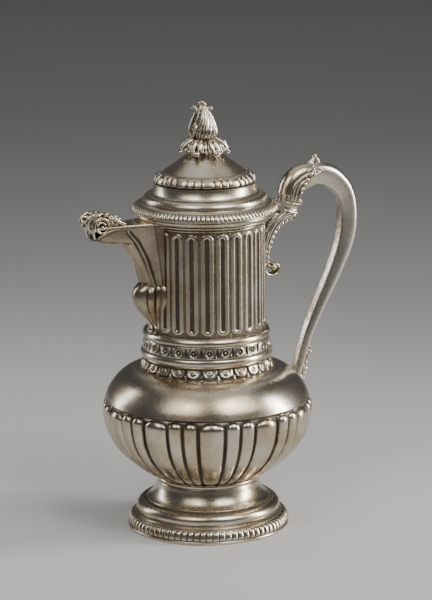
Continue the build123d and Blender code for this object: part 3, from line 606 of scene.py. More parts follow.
ls_out = profile(([(40.4, 218.4), (40.5, 219.6), (39.9, 221.2), (38.6, 222.5), (37.2, 223.1), (36.4, 223.3)], 18),
                 ([(36.4, 223.3), (35.0, 224.2), (33.9, 226.2), (33.2, 228.6), (33.0, 230.4)], 18),
                 ([(33.0, 230.4), (30.6, 230.6), (28.2, 236.8), (27.4, 237.2)], 5),
                 ([(27.4, 237.2), (24.0, 239.6), (19.4, 242.7), (14.4, 246.4), (9.6, 250.6), (6.6, 254.4), (5.2, 257.4)], 30))
ls_in = profile(([(1.6, 257.4), (1.6, 255.4), (3.9, 255.4)], 3),
                ([(3.9, 255.4), (5.6, 253.4), (8.8, 249.8), (13.7, 245.5), (18.7, 242.0), (23.4, 238.9), (26.9, 236.2)], 16),
                ([(26.9, 236.2), (29.6, 229.8), (31.9, 229.6)], 3),
                ([(31.9, 229.6), (32.5, 227.0), (33.7, 224.3), (35.4, 222.4), (36.0, 221.6), (36.0, 218.4)], 10))
# darker at the lid's steps, its joins and under the finial: tarnish with painted shade
lathe("lid_raised", ls_out, ls_in, even(240), "lid", SILVER_LID, ("lid_shell",),
      base_cav=lambda r, z: np.maximum.reduce([0.9 * np.exp(-((z - 223.3) / 0.45) ** 2), 0.85 * (1 - sstep(z, 218.4, 219.2)),
                                               0.8 * np.exp(-((z - 230.3) / 0.6) ** 2), 0.7 * np.exp(-((z - 237.3) / 0.5) ** 2),
                                               0.6 * sstep(z, 250.5, 255.0)]))

LID_FIRST = 3.8 - 120
ba_out = profile(([(32.9, 230.5), (33.3, 231.6), (33.0, 233.4), (32.0, 235.2), (30.6, 236.4), (29.3, 236.9), (28.2, 237.0)], 26))


def lid_lobes(r, z, s, alpha):
    off, half = lobe_field(alpha, LID_FIRST)
    W = np.radians(half) * r - 0.16
    a = np.abs(np.radians(off) * r)
    total = s.max()
    e = np.minimum(s, total - s)
    up = np.maximum(1.5 - (e - 0.45), 0) / 1.5
    rho = np.sqrt((a / W) ** 4 + up ** 2)
    dome = np.sqrt(np.clip(1 - rho ** 2.2, 0, 1))
    h = -0.95 * (1 - dome) + 0.1
    # dark between the lobes: tarnish with painted shade
    c = np.where(rho >= 1, 0.95, sstep(rho, 0.88, 1.0) * 0.8)
    return h, c


lathe("lid_lobed_band", ba_out, np.array([(28.4, 236.4), (30.6, 230.7)]), lobe_angles(LID_FIRST, 14, 10), "lid",
      SILVER_LID, ("lid_band",), lid_lobes)

# ------------------------------------------------------------- sculpted work
def unit(v):
    v = np.asarray(v, float)
    return v / (np.linalg.norm(v, axis=-1, keepdims=True) + 1e-12)


def rail(pts, per=12):
    """Smooth curve through pts with the same number of steps on every run."""
    p = np.asarray(pts, float)
    q = np.vstack([2 * p[0] - p[1], p, 2 * p[-1] - p[-2]])
    out = []
    for i in range(1, len(q) - 2):
        a, b, c, d = q[i - 1:i + 3]
        k = [0.0]
        for s, e in ((a, b), (b, c), (c, d)):
            k.append(k[-1] + np.linalg.norm(e - s) ** 0.5 + 1e-6)
        t = np.linspace(k[1], k[2], per, endpoint=False)[:, None]
        a1 = (k[1] - t) / (k[1] - k[0]) * a + (t - k[0]) / (k[1] - k[0]) * b
        a2 = (k[2] - t) / (k[2] - k[1]) * b + (t - k[1]) / (k[2] - k[1]) * c
        a3 = (k[3] - t) / (k[3] - k[2]) * c + (t - k[2]) / (k[3] - k[2]) * d
        b1 = (k[2] - t) / (k[2] - k[0]) * a1 + (t - k[0]) / (k[2] - k[0]) * a2
        b2 = (k[3] - t) / (k[3] - k[1]) * a2 + (t - k[1]) / (k[3] - k[1]) * a3
        out.append((k[2] - t) / (k[2] - k[1]) * b1 + (t - k[1]) / (k[2] - k[1]) * b2)
    return np.vstack(out + [p[-1:]])


def closed_run(p, n):
    p = np.asarray(p, float)
    k = len(p)
    u = np.arange(n) * k / n
    i = np.floor(u).astype(int)
    t = (u - i)[:, None]
    a, b, c, d = p[(i - 1) % k], p[i % k], p[(i + 1) % k], p[(i + 2) % k]
    return 0.5 * (2 * b + (c - a) * t + (2 * a - 5 * b + 4 * c - d) * t ** 2 + (3 * b - a - 3 * c + d) * t ** 3)


# outline of body and neck that soldered pieces stop at (z, r)
SKIN = np.array([(34.9, 33.0)] + [(z, r) for r, z in BOWL[1:]] + [(z, r) for r, z in SHOULDER[1:]]
                + [(110.2, 43.2), (114.3, 41.6), (117.4, 43.3), (120.7, 42.4), (124.0, 41.7), (129.2, 41.3), (130.6, 41.9),
                   (132.4, 41.6), (133.7, 40.6), (134.4, 38.2), (203.9, 38.2), (205.3, 40.2), (208.3, 43.0), (211.4, 46.3)])


def keep_out(V, depth=0.6):
    """Pulls whatever would reach through the body's wall back into the wall."""
    V = np.array(V, float)
    r = np.hypot(V[..., 0], V[..., 1]) + 1e-9
    R = np.interp(V[..., 2], SKIN[:, 0], SKIN[:, 1]) - depth
    k = np.where(r < R, R / r, 1.0)
    V[..., 0] *= k
    V[..., 1] *= k
    return V


BOX_LO = np.asarray(box_cad[0]) / MM + 0.03
BOX_HI = np.asarray(box_cad[1]) / MM - 0.03


class Clay:
    """Strokes, bulbs and slabs in mm that are fused into one cast piece."""

    def __init__(self):
        self.v, self.f, self.k = [], [], 0

    def put(self, V, F):
        V = np.asarray(V, float).reshape(-1, 3)
        self.v.append(V)
        self.f += [tuple(int(i) + self.k for i in q) for q in F]
        self.k += len(V)

    def rings(self, P, flip=False):
        P = np.asarray(P, float)
        m, n = P.shape[:2]
        F = [(i * n + j, i * n + (j + 1) % n, (i + 1) * n + (j + 1) % n, (i + 1) * n + j)
             for i in range(m - 1) for j in range(n)]
        F += [tuple(range(n))[::-1], tuple((m - 1) * n + j for j in range(n))]
        self.put(P, F)

    def stroke(self, pts, rad, flat=1.0, up=(0, 1, 0), n=12, step=0.7):
        p = np.asarray(pts, float)
        if not hasattr(rad, "__len__"):
            rad = [rad, rad]
        length = np.linalg.norm(np.diff(p, axis=0), axis=1).sum()
        m = max(3, int(length / step))
        q = smooth_run(p, m)
        r = np.interp(np.linspace(0, 1, m), np.linspace(0, 1, len(rad)), rad)
        T = unit(np.gradient(q, axis=0))
        U = np.broadcast_to(np.asarray(up, float), q.shape)
        U = unit(U - (U * T).sum(1)[:, None] * T + 1e-9)
        W = np.cross(T, U)
        C, R, TT, UU, WW = [], [], [], [], []
        for s, e in ((0, -1), (m - 1, 1)):
            ang = np.radians([85, 60, 32]) if e < 0 else np.radians([32, 60, 85])
            cap = ([q[s] + e * T[s] * r[s] * math.sin(a) for a in ang], [r[s] * math.cos(a) for a in ang])
            if e < 0:
                C += cap[0]; R += cap[1]
                TT += [T[s]] * 3; UU += [U[s]] * 3; WW += [W[s]] * 3
                C += list(q); R += list(r); TT += list(T); UU += list(U); WW += list(W)
            else:
                C += cap[0]; R += cap[1]
                TT += [T[s]] * 3; UU += [U[s]] * 3; WW += [W[s]] * 3
        C, R, UU, WW = map(np.array, (C, R, UU, WW))
        a = np.arange(n) * 2 * math.pi / n
        P = C[:, None] + R[:, None, None] * (np.cos(a)[None, :, None] * WW[:, None] + flat * np.sin(a)[None, :, None] * UU[:, None])
        self.rings(P)

    def bulb(self, c, r, axis=(0, 0, 1), long=0.0, flat=1.0, up=(0, 1, 0)):
        c, a = np.asarray(c, float), unit(axis)
        e = max(long / 2, r * 0.05)
        self.stroke([c - a * e, c + a * e], r, flat, up if abs(np.dot(up, a)) < 0.9 else (1, 0, 0), n=14)

    def slab(self, outline, y0, y1):
        p = np.asarray(outline, float)
        n = len(p)
        V = [(x, y0, z) for x, z in p] + [(x, y1, z) for x, z in p]
        F = [(j, (j + 1) % n, n + (j + 1) % n, n + j) for j in range(n)]
        F += [tuple(range(n))[::-1], tuple(n + j for j in range(n))]
        self.put(V, F)

    def fuse(self, name, voxel, body, slot, mat, stands_for=(), soften=2, depth=0.10, reach=12, trim=True, extra=None):
        me = bpy.data.meshes.new(name + "_raw")
        me.from_pydata((np.vstack(self.v) * MM).tolist(), [], self.f)
        tmp = bpy.data.objects.new(name + "_raw", me)
        bpy.context.scene.collection.objects.link(tmp)
        md = tmp.modifiers.new("fuse", "REMESH")
        md.mode = "VOXEL"
        md.voxel_size = voxel * MM
        md.adaptivity = 0.0
        dg = bpy.context.evaluated_depsgraph_get()
        got = bpy.data.meshes.new_from_object(tmp.evaluated_get(dg))
        V = np.zeros(len(got.vertices) * 3)
        got.vertices.foreach_get("co", V)
        V = V.reshape(-1, 3) / MM
        L = np.zeros(len(got.loops), np.int64)
        got.loops.foreach_get("vertex_index", L)
        F = L.reshape(-1, 4)
        E = np.zeros(len(got.edges) * 2, np.int64)
        got.edges.foreach_get("vertices", E)
        E = E.reshape(-1, 2)
        bpy.data.objects.remove(tmp)
        bpy.data.meshes.remove(me)
        bpy.data.meshes.remove(got)
        nv = len(V)
        a, b = np.r_[E[:, 0], E[:, 1]], np.r_[E[:, 1], E[:, 0]]
        deg = np.bincount(a, minlength=nv)[:, None] + 1e-9

        def mean(X):
            return np.stack([np.bincount(a, X[b, k], nv) for k in range(X.shape[1])], 1) / deg

        for _ in range(soften):
            V = V + 0.5 * (mean(V) - V)
            V = V - 0.52 * (mean(V) - V)
        S = V.copy()
        for _ in range(reach):
            S = mean(S)
        fn = np.cross(V[F[:, 2]] - V[F[:, 0]], V[F[:, 3]] - V[F[:, 1]])
        N = np.zeros((nv, 3))
        for k in range(4):
            for c in range(3):
                N[:, c] += np.bincount(F[:, k], fn[:, c], nv)
        N = unit(N)
        # concavity of the fused surface sets 'cav' in place of occlusion: tarnish with painted shade in the hollows
        cav = ((S - V) * N).sum(1)
        cav = np.clip((cav - 0.02) / depth, 0, 1)
        cav = mean(cav[:, None])[:, 0]
        if extra is not None:
            cav = np.maximum(cav, extra(V))
        if trim:
            V = keep_out(V)
        V = np.clip(V, BOX_LO, BOX_HI)
        return make_object(name, V, F, cav, body, mat, stands_for, None)


# ---- the handle's skin, as a surface other pieces can follow
HANDLE = [((56.4, 212.3), (69.6, 209.0), 5.3), ((57.3, 218.1), (70.8, 213.4), 5.4), ((59.2, 223.8), (72.6, 216.4), 5.5),
          ((62.7, 228.6), (74.9, 218.2), 5.6), ((67.4, 231.9), (77.6, 219.4), 5.6), ((72.8, 233.9), (80.2, 220.1), 5.6),
          ((79.1, 234.9), (82.6, 220.3), 5.6), ((86.6, 234.8), (85.4, 220.2), 5.6), ((94.0, 233.3), (88.8, 219.4), 5.6),
          ((100.5, 230.3), (92.8, 217.5), 5.6), ((106.2, 225.7), (96.9, 214.5), 5.6), ((111.0, 219.9), (100.4, 211.0), 5.6),
          ((114.3, 212.9), (102.4, 207.1), 5.6), ((116.2, 205.2), (103.3, 202.2), 5.6), ((116.9, 197.3), (103.4, 196.6), 5.6),
          ((116.6, 189.2), (103.0, 190.9), 5.6), ((115.2, 181.5), (102.1, 185.2), 5.5), ((112.0, 173.0), (100.2, 177.7), 5.4),
          ((107.4, 164.0), (97.0, 169.2), 5.3), ((102.3, 154.8), (92.6, 159.4), 5.2), ((96.8, 145.8), (88.0, 149.8), 5.0),
          ((91.4, 136.8), (83.3, 140.4), 4.8), ((86.3, 127.8), (78.8, 130.6), 4.6), ((81.6, 118.4), (74.5, 120.4), 4.4),
          ((77.8, 108.8), (71.0, 110.3), 4.2), ((74.6, 99.6), (68.2, 101.0), 4.0), ((71.6, 91.6), (65.2, 93.0), 3.9),
          ((67.6, 84.6), (61.4, 86.6), 3.8)]
D_HALF = [(0, 0), (.004, .36), (.010, .58), (.030, .70), (.10, .78), (.24, .87), (.42, .96), (.60, 1.0), (.78, .93), (.92, .64), (.985, .30), (1, 0)]


def d_section(row, grow=0.0, n=56):
    ox, oz, ix, iz, h = row
    depth = math.hypot(ox - ix, oz - iz)
    ux, uz = (ox - ix) / depth, (oz - iz) / depth
    ring = D_HALF + [(t, -w) for t, w in D_HALF[-2:0:-1]]
    c = closed_run([(t * (depth + 2 * grow) - grow, w * (h + grow)) for t, w in ring], n)
    return np.stack([ix + ux * c[:, 0], c[:, 1], iz + uz * c[:, 0]], 1)


H_ROWS = rail([(o[0], o[1], i[0], i[1], h) for o, i, h in HANDLE], 7)
H_SKIN = np.array([d_section(r) for r in H_ROWS])


def handle_object():
    P = keep_out(H_SKIN)
    m, n = P.shape[:2]
    F = [(i * n + j, i * n + (j + 1) % n, (i + 1) * n + (j + 1) % n, (i + 1) * n + j) for i in range(m - 1) for j in range(n)]
    F += [tuple(range(n))[::-1], tuple((m - 1) * n + j for j in range(n))]
    t = np.arange(n) / n
    inner = np.minimum(t, 1 - t)                    # 0 at the middle of the narrow inner face
    z = P[:, :, 2]
    # painted shade and painted reflection of the pot on the narrow inner face, darker painted lines along its edges,
    # painted shade between the ferrule and the leaf and where the foot meets the body
    cav = np.maximum(np.where(inner < 0.115, 0.42, 0.0), 0.55 * np.exp(-((inner - 0.128) / 0.012) ** 2)) * np.ones((m, 1))
    cav = np.maximum(cav, 0.42 * np.exp(-((P[:, :, 0] - 57.5) / 3.5) ** 2) * (z > 205))
    cav = np.maximum(cav, 0.65 * (1 - sstep(z, 90.0, 97.0)))
    o = make_object("handle_arch_raised", P.reshape(-1, 3), F, cav.ravel(), "pot", SILVER_HANDLE, ("handle_arch",), 40)
    fix_normals(o)


handle_object()


def on_arch(x, z, lift=0.0):
    """Point of the handle's camera-side skin over (x, z), raised by lift."""
    q = H_SKIN[:70].reshape(-1, 3)
    q = q[q[:, 1] <= 0.01]
    k = np.argsort((q[:, 0] - x) ** 2 + (q[:, 2] - z) ** 2)[:6]
    w = 1 / (1e-3 + np.hypot(q[k, 0] - x, q[k, 2] - z))
    y = (q[k, 1] * w).sum() / w.sum()
    return np.array([x, y - lift, z])


# acanthus leaf wrapped over the first half of the arch, with the thumb spur
leaf = Clay()
leaf.rings(np.array([d_section(r, g) for r, g in zip(H_ROWS[5:44], np.interp(np.arange(39), [0, 4, 30, 38], [0.9, 0.75, 0.6, 0.1]))]))
for sgn in (1, -1):
    def arch(pts, rad, lift=0.35, flat=0.9):
        q = np.array([on_arch(x, z, lift) for x, z in pts])
        q[:, 1] *= sgn
        leaf.stroke(q, rad, flat)

    arch([(60.6, 211.5), (61.0, 215.5), (61.8, 219.9), (63.9, 224.2), (67.5, 227.7), (72.0, 230.1), (76.5, 231.6), (81.1, 232.4)],
         [0.7, 0.8, 0.8, 0.75, 0.7, 0.6], 0.0)
    arch([(62.9, 210.1), (62.9, 214.5), (63.9, 219.0), (66.1, 222.9), (69.4, 225.7), (73.1, 227.6), (76.8, 228.9)],
         [1.0, 1.15, 1.2, 1.15, 1.0, 0.7], 0.55)
    arch([(65.5, 209.6), (65.3, 213.1), (66.2, 217.3), (68.4, 220.7), (71.3, 223.2), (74.2, 224.9)], [0.95, 1.1, 1.1, 1.0, 0.7], 0.55)
    arch([(68.2, 209.4), (68.2, 212.3), (69.1, 215.6), (70.5, 218.4), (72.4, 220.8)], [1.0, 1.1, 1.0, 0.7], 0.5)
    for x, z, r in ((74.6, 224.6, 1.45), (73.0, 221.7, 1.45), (71.2, 218.6, 1.3), (77.4, 228.2, 1.35), (79.4, 229.9, 1.15),
                    (70.0, 215.9, 1.0)):
        q = on_arch(x, z, 0.75)
        leaf.bulb((q[0], q[1] * sgn, q[2]), r, (0.8, 0, 0.5), 0.9)
    # curl at the lower corner
    cc = on_arch(70.0, 209.6, 0.9)
    t = np.linspace(0, 1.6 * math.pi, 16)
    leaf.stroke([(cc[0] + 0.2 + (2.1 - 0.28 * a) * math.sin(a), cc[1] * sgn, cc[2] + 0.2 - (2.1 - 0.28 * a) * math.cos(a)) for a in t],
                [1.0, 0.8, 0.75])
    leaf.bulb((cc[0] + 0.2, cc[1] * sgn, cc[2] + 0.3), 0.95)
    # pointed tip of the leaf
    arch([(80.2, 232.9), (83.5, 231.6), (86.4, 229.7), (83.6, 228.3), (80.4, 226.7)], [0.7, 0.75, 0.9, 0.75, 0.6], 0.15)
    arch([(78.5, 229.9), (81.4, 230.1), (84.4, 229.8)], [0.6, 0.6, 0.4], 0.1)
# spur: two curled leaves rising into a knob
leaf.stroke([(79.6, 0, 234.0), (81.4, 0, 235.6), (82.9, 0, 237.4), (84.0, 0, 239.2)], [1.9, 1.7, 1.35, 1.0], 0.9)
leaf.stroke([(86.9, 0, 234.3), (86.6, 0, 235.8), (85.4, 0, 237.2)], [1.3, 1.1, 0.9], 0.9)
leaf.bulb((84.0, 0, 239.3), 1.35, (0, 1, 0), 0.8)
leaf.fuse("handle_acanthus", 0.30, "pot", "silver_body", SILVER_CAST, ("handle_leaf", "thumb_spur"), 1, 0.06, 12)


# ferrule with a bead at each end
def ferrule():
    a = np.array([56.4, 212.3, 69.6, 209.0, 5.6])
    b = np.array([55.6, 205.8, 68.6, 201.8, 5.0])
    t = np.array([0.0, .02, .07, .13, .18, .22, .26, .40, .60, .74, .78, .83, .88, .94, .98, 1.0])
    g = np.array([.1, .5, .8, .8, .5, .12, .0, -.12, -.12, 0.0, .12, .5, .8, .8, .5, .1])
    P = np.array([d_section(a * (1 - u) + b * u, e, 64) for u, e in zip(t, g)])
    m, n = P.shape[:2]
    F = [(i * n + j, i * n + (j + 1) % n, (i + 1) * n + (j + 1) % n, (i + 1) * n + j) for i in range(m - 1) for j in range(n)]
    F += [tuple(range(n))[::-1], tuple((m - 1) * n + j for j in range(n))]
    # dark in the grooves beside the beads: tarnish with painted shade
    cav = np.repeat(np.interp(t, [0, .05, .2, .24, .3, .7, .76, .82, .95, 1], [.9, 0, .3, .9, 0, 0, .9, .3, 0, .9]), n)
    o = make_object("handle_ferrule", P.reshape(-1, 3), F, cav, "pot", SILVER_CAST, ("handle_socket",), 60)
    fix_normals(o)


ferrule()

# scroll bracket: C-scroll body, fanned flutes, scalloped leaf edge, volute with its ball
br = Clay()
outline = smooth_run([(55.4, 206.2), (51.6, 203.8), (48.2, 200.2), (45.6, 196.2), (43.0, 192.8), (39.6, 190.4), (36.5, 189.6)], 26)
outline = np.vstack([outline, smooth_run([(36.5, 165.6), (39.6, 163.8), (42.6, 164.6), (44.4, 167.5), (44.6, 172.0), (44.9, 178.0),
                                          (45.4, 183.5), (46.9, 188.8), (49.6, 192.9), (53.2, 196.0), (57.6, 198.2), (62.6, 200.2),
                                          (67.4, 202.2)], 50), [(66.8, 204.2)]])
br.slab(outline, -3.3, 3.3)
for s in (-1, 1):
    y = 3.2 * s
    br.stroke([(66.4, y, 203.6), (62.6, y, 203.9), (58.7, y, 202.9), (54.2, y, 200.3), (50.3, y, 196.4), (47.2, y, 191.6), (44.9, y, 186.0),
               (43.4, y, 179.4), (42.9, y, 173.0), (42.8, y, 168.0)], [1.5, 1.7, 1.6, 1.45, 1.3, 1.2, 1.1, 1.0, 0.9], 0.8)
    br.stroke([(66.0, y, 201.2), (62.0, y, 200.9), (58.0, y, 199.6), (54.4, y, 197.3), (51.3, y, 194.0), (48.6, y, 189.6), (46.7, y, 184.0)],
              [1.3, 1.35, 1.25, 1.15, 1.0, 0.8], 0.8)
    br.stroke([(58.9, y, 205.0), (54.6, y, 203.6), (50.6, y, 200.9), (47.0, y, 197.2), (43.6, y, 193.4), (40.6, y, 191.4)],
              [1.2, 1.3, 1.2, 1.1, 0.9], 0.8)
for x, z, r in ((64.2, 199.6, 1.9), (60.6, 197.9, 1.8), (57.2, 196.6, 1.9), (54.2, 193.9, 1.8), (51.9, 191.2, 1.8), (50.0, 188.0, 1.8),
                (48.9, 184.6, 1.7), (47.6, 181.3, 1.6), (46.9, 178.0, 1.5), (46.4, 174.8, 1.45), (46.6, 171.6, 1.5)):
    br.bulb((x - 0.4, 0, z + 0.3), r, (0, 1, 0), 4.4)
    for s in (-1, 1):
        br.stroke([(x - 2.2, 2.7 * s, z + 1.5), (x - 0.3, 3.0 * s, z + 0.3), (x + 0.9, 2.0 * s, z - 0.7)], [0.7, 0.9, 0.6])
# curled tip next to the ferrule
br.stroke([(66.8, 0, 201.0), (68.0, 0, 199.3), (66.9, 0, 197.9), (65.4, 0, 198.3), (65.6, 0, 199.4)], [1.4, 1.25, 1.0, 0.8, 0.7], 2.4)
# lower volute
for s in (-1, 0, 1):
    y = 2.4 * s
    br.stroke([(43.0, y, 170.5), (43.4, y, 166.6), (45.4, y, 163.8), (48.4, y, 162.7), (51.6, y, 162.9), (54.0, y, 164.8), (54.4, y, 167.6),
               (52.9, y, 169.7), (50.5, y, 169.7)], [1.5, 1.4, 1.25, 1.15, 1.1, 1.05, 1.0, 0.9], 1.25)
br.bulb((50.6, 0, 167.7), 2.0, (0, 1, 0), 5.2)
br.stroke([(46.9, 0, 169.6), (48.2, 0, 168.4), (49.8, 0, 168.6)], [1.3, 1.2, 1.0], 2.0)
br.fuse("handle_scroll_bracket", 0.33, "pot", "silver_body", SILVER_CAST, ("handle_bracket",), 1, 0.06, 12)

# small leaf scrolls down the outside of the handle's foot
fl = Clay()
fl.stroke([(79.4, 0, 110.0), (77.2, 0, 105.0), (75.4, 0, 99.0), (73.6, 0, 93.5), (72.0, 0, 88.0)], [0.9, 1.3, 1.2, 1.4, 1.5], 1.5)
for x, z, r in ((79.0, 106.3, 1.55), (77.4, 103.2, 1.25), (76.2, 99.5, 1.0), (76.0, 95.4, 1.55), (75.2, 92.0, 1.2), (73.8, 89.0, 1.35)):
    fl.bulb((x, 0, z), r, (0, 1, 0), 2.2)
for s in (-1, 1):
    fl.stroke([(76.0, 2.0 * s, 109.0), (76.4, 2.3 * s, 105.5), (78.0, 1.6 * s, 104.4)], [0.5, 0.9, 0.6])
    fl.stroke([(73.4, 2.2 * s, 101.0), (73.6, 2.4 * s, 96.5), (75.4, 1.6 * s, 94.0)], [0.5, 0.9, 0.6])
    fl.stroke([(70.8, 2.0 * s, 93.0), (71.4, 2.4 * s, 89.6), (73.2, 1.6 * s, 87.8)], [0.5, 0.9, 0.7])
fl.fuse("handle_foot_scrolls", 0.26, "pot", "silver_body", SILVER_CAST, ("handle_foot_leaf",), 1, 0.10, 12)

# ---- the spout
SPOUT = [(167.7, [(36.4, 11.9), (39.3, 11.7), (43.2, 9.6), (44.9, 7.2), (46.2, 4.9), (47.1, 2.4), (47.4, 0)]),
         (176.0, [(36.4, 11.9), (40.2, 11.6), (45.5, 8.8), (47.2, 6.6), (48.5, 4.4), (49.4, 2.2), (49.8, 0)]),
         (185.0, [(36.4, 11.9), (41.3, 11.5), (48.1, 7.9), (50.6, 6.0), (52.5, 4.1), (53.8, 2.1), (54.3, 0)]),
         (192.0, [(36.4, 11.9), (42.3, 11.5), (51.3, 7.4), (54.2, 5.8), (56.8, 4.1), (58.6, 2.1), (59.3, 0)]),
         (196.0, [(36.4, 11.9), (42.9, 11.4), (53.4, 7.2), (57.0, 5.8), (60.2, 4.2), (62.7, 2.2), (63.6, 0)]),
         (198.0, [(36.4, 11.9), (43.2, 11.4), (54.7, 7.1), (61.5, 6.1), (68.0, 5.3), (74.6, 3.4), (77.5, 0)]),
         (200.2, [(36.4, 11.9), (43.6, 11.4), (56.6, 7.0), (64.0, 6.5), (73.0, 6.2), (80.2, 4.4), (82.6, 0)]),
         (203.4, [(36.4, 11.9), (44.0, 11.4), (59.4, 6.9), (66.0, 6.7), (75.0, 6.5), (82.6, 5.0), (84.8, 0)]),
         (207.6, [(36.4, 11.9), (44.5, 11.4), (62.8, 6.9), (68.0, 6.8), (76.0, 6.6), (83.6, 5.2), (85.6, 0)])]
MOUTH = np.array([(64.5, 208.2), (66.5, 207.3), (69.5, 207.0), (73.0, 206.5), (76.0, 205.6), (79.0, 204.0), (81.3, 202.3), (83.0, 200.8), (84.5, 199.6)])


def spout_grid(rows=46):
    rails = [rail([(-h[k][0], h[k][1], z) for z, h in SPOUT], 14) for k in range(7)]
    # fine columns: flat panels, crisp fold and ridge, round front
    cols = []
    for a, b, n in ((0, 1, 7), (1, 2, 12)):
        for t in np.linspace(0, 1, n, endpoint=False):
            cols.append(rails[a] * (1 - t) + rails[b] * t)
    front = np.array(rails[2:])                      # ridge .. keel
    mir = front[-2::-1] * np.array([1, -1, 1])
    full = np.concatenate([front, mir])
    n = front.shape[1]
    arc = np.array([rail(full[:, i], 6) for i in range(n)])          # (n, 49, 3)
    for j in range(arc.shape[1]):
        cols.append(arc[:, j])
    for a, b, n2 in ((2, 1, 12), (1, 0, 7)):
        for t in np.linspace(0, 1, n2 + 1)[1:]:
            cols.append((rails[a] * (1 - t) + rails[b] * t) * np.array([1, -1, 1]))
    out = []
    for c in cols:
        x, z = -c[:, 0], c[:, 2]
        lim = np.where(x > 64.5, np.interp(x, MOUTH[:, 0], MOUTH[:, 1]), 1e3)
        over = np.nonzero(z > lim)[0]
        e = c if len(over) == 0 else c[:max(over[0], 3)]
        d = np.r_[0, np.cumsum(np.linalg.norm(np.diff(e, axis=0), axis=1))]
        s = np.linspace(0, d[-1], rows)
        out.append(np.stack([np.interp(s, d, e[:, k]) for k in range(3)], 1))
    return np.array(out).transpose(1, 0, 2), rails


G, RAILS = spout_grid()


def spout_object():
    m, n = G.shape[:2]
    du = np.gradient(G, axis=1)
    dv = np.gradient(G, axis=0)
    N = unit(np.cross(du, dv))
    axis = np.array([-40.0, 0.0])
    if (N[..., :2] * (G[..., :2] - axis)).sum() < 0:
        N = -N
    inner = G - N * 1.15
    inner[0, :, 2] += 1.3
    ck = Clay()
    V = np.concatenate([G.reshape(-1, 3), inner.reshape(-1, 3)])
    o = m * n
    F = []
    for i in range(m - 1):
        for j in range(n - 1):
            a, b, c, d = i * n + j, i * n + j + 1, (i + 1) * n + j + 1, (i + 1) * n + j
            F += [(a, b, c, d), (o + d, o + c, o + b, o + a)]
    for j in range(n - 1):
        a, b = (m - 1) * n + j, (m - 1) * n + j + 1
        F.append((a, b, o + b, o + a))
        F.append((j + 1, j, o + j, o + j + 1))
    for i in range(m - 1):
        for j, fl_ in ((0, 1), (n - 1, 0)):
            a, b = i * n + j, (i + 1) * n + j
            F.append((a, b, o + b, o + a) if fl_ else (b, a, o + a, o + b))
    ck.put(V, F)
    # floor of the beak, above the boss
    ck.slab([(-36.9, 167.6), (-46.3, 167.6), (-46.6, 169.0), (-36.9, 169.0)], -6.5, 6.5)
    for s in (-1, 1):
        ridge = RAILS[2] * np.array([1, s, 1])
        ridge = ridge[:104]
        nn = unit(np.array([-0.55, 0.83 * s, 0]))
        ck.stroke((ridge + nn * 0.75)[::6], [0.95, 1.2, 1.25, 1.2, 1.1, 0.8], 0.95)
        fold = RAILS[1] * np.array([1, s, 1])
        ck.stroke((fold - nn * 0.25)[::8], 0.55)
    # rolled lip round the mouth
    top = G[-1]
    keep = np.nonzero(-top[:, 0] > 64.8)[0]
    lip = top[keep]
    ck.stroke(lip[::2], [0.6, 0.85, 0.85, 0.6], up=(0, 0, 1))
    gr = []
    for s in (-1, 1):
        q = RAILS[2] * np.array([1, s, 1])
        gr.append(q[:112] + np.array([-1.9, -1.1 * s, 0]))
    gr = np.vstack(gr)

    def groove_and_mouth_shade(V):
        c = np.zeros(len(V))
        # grooves beside the ridges: tarnish with painted shade
        for p in gr[::2]:
            d = np.linalg.norm(V - p, axis=1)
            c = np.maximum(c, 0.8 * np.exp(-(d / 1.25) ** 2))
        # inside of the mouth: painted shade
        inside = (np.abs(V[:, 1]) < 5.6) & (V[:, 0] > -84) & (V[:, 2] > 200.5) & (V[:, 0] < -60)
        c = np.maximum(c, np.where(inside, 0.7, 0))
        # band along the top under the plate: painted shade
        side = sstep(V[:, 2], 206.2, 207.6) * 0.6
        return np.maximum(c, side)

    ck.fuse("spout_beak", 0.36, "pot", "silver_body", SILVER_BEAK, ("spout_shell",), 2, 0.10, 12, extra=groove_and_mouth_shade)


spout_object()

# plate over the beak
pl = Clay()
half = [(36.6, 12.6), (44.5, 11.9), (53.5, 9.6), (62.8, 7.5), (70.0, 7.2), (78.0, 7.0), (84.0, 5.4)]
pts = [(-x, w) for x, w in half] + [(-x, -w) for x, w in half[::-1]]
ring = np.array([(x, y, 0) for x, y in pts])
n = 96
d = np.r_[0, np.cumsum(np.linalg.norm(np.diff(np.vstack([ring, ring[:1]]), axis=0), axis=1))]
loop = np.stack([np.interp(np.linspace(0, d[-1], n, endpoint=False), d, np.r_[ring[:, k], ring[0, k]]) for k in range(3)], 1)
cen = np.array([-58.0, 0, 0])
lay = []
for z, g in ((207.6, -0.5), (207.8, -0.1), (208.3, 0.0), (208.8, -0.15), (209.0, -0.8)):
    q = loop.copy()
    q += unit(cen - loop) * (-g)
    q[:, 2] = z
    lay.append(q)
pl.rings(np.array(lay))
pl.fuse("spout_top_plate", 0.33, "pot", "silver_body", SILVER_CAST, ("spout_cover",), 1, 0.10, 12,
        extra=lambda V: np.where((V[:, 2] > 208.7) & (np.abs(V[:, 1]) < 6.2), 0.38, 0.0))

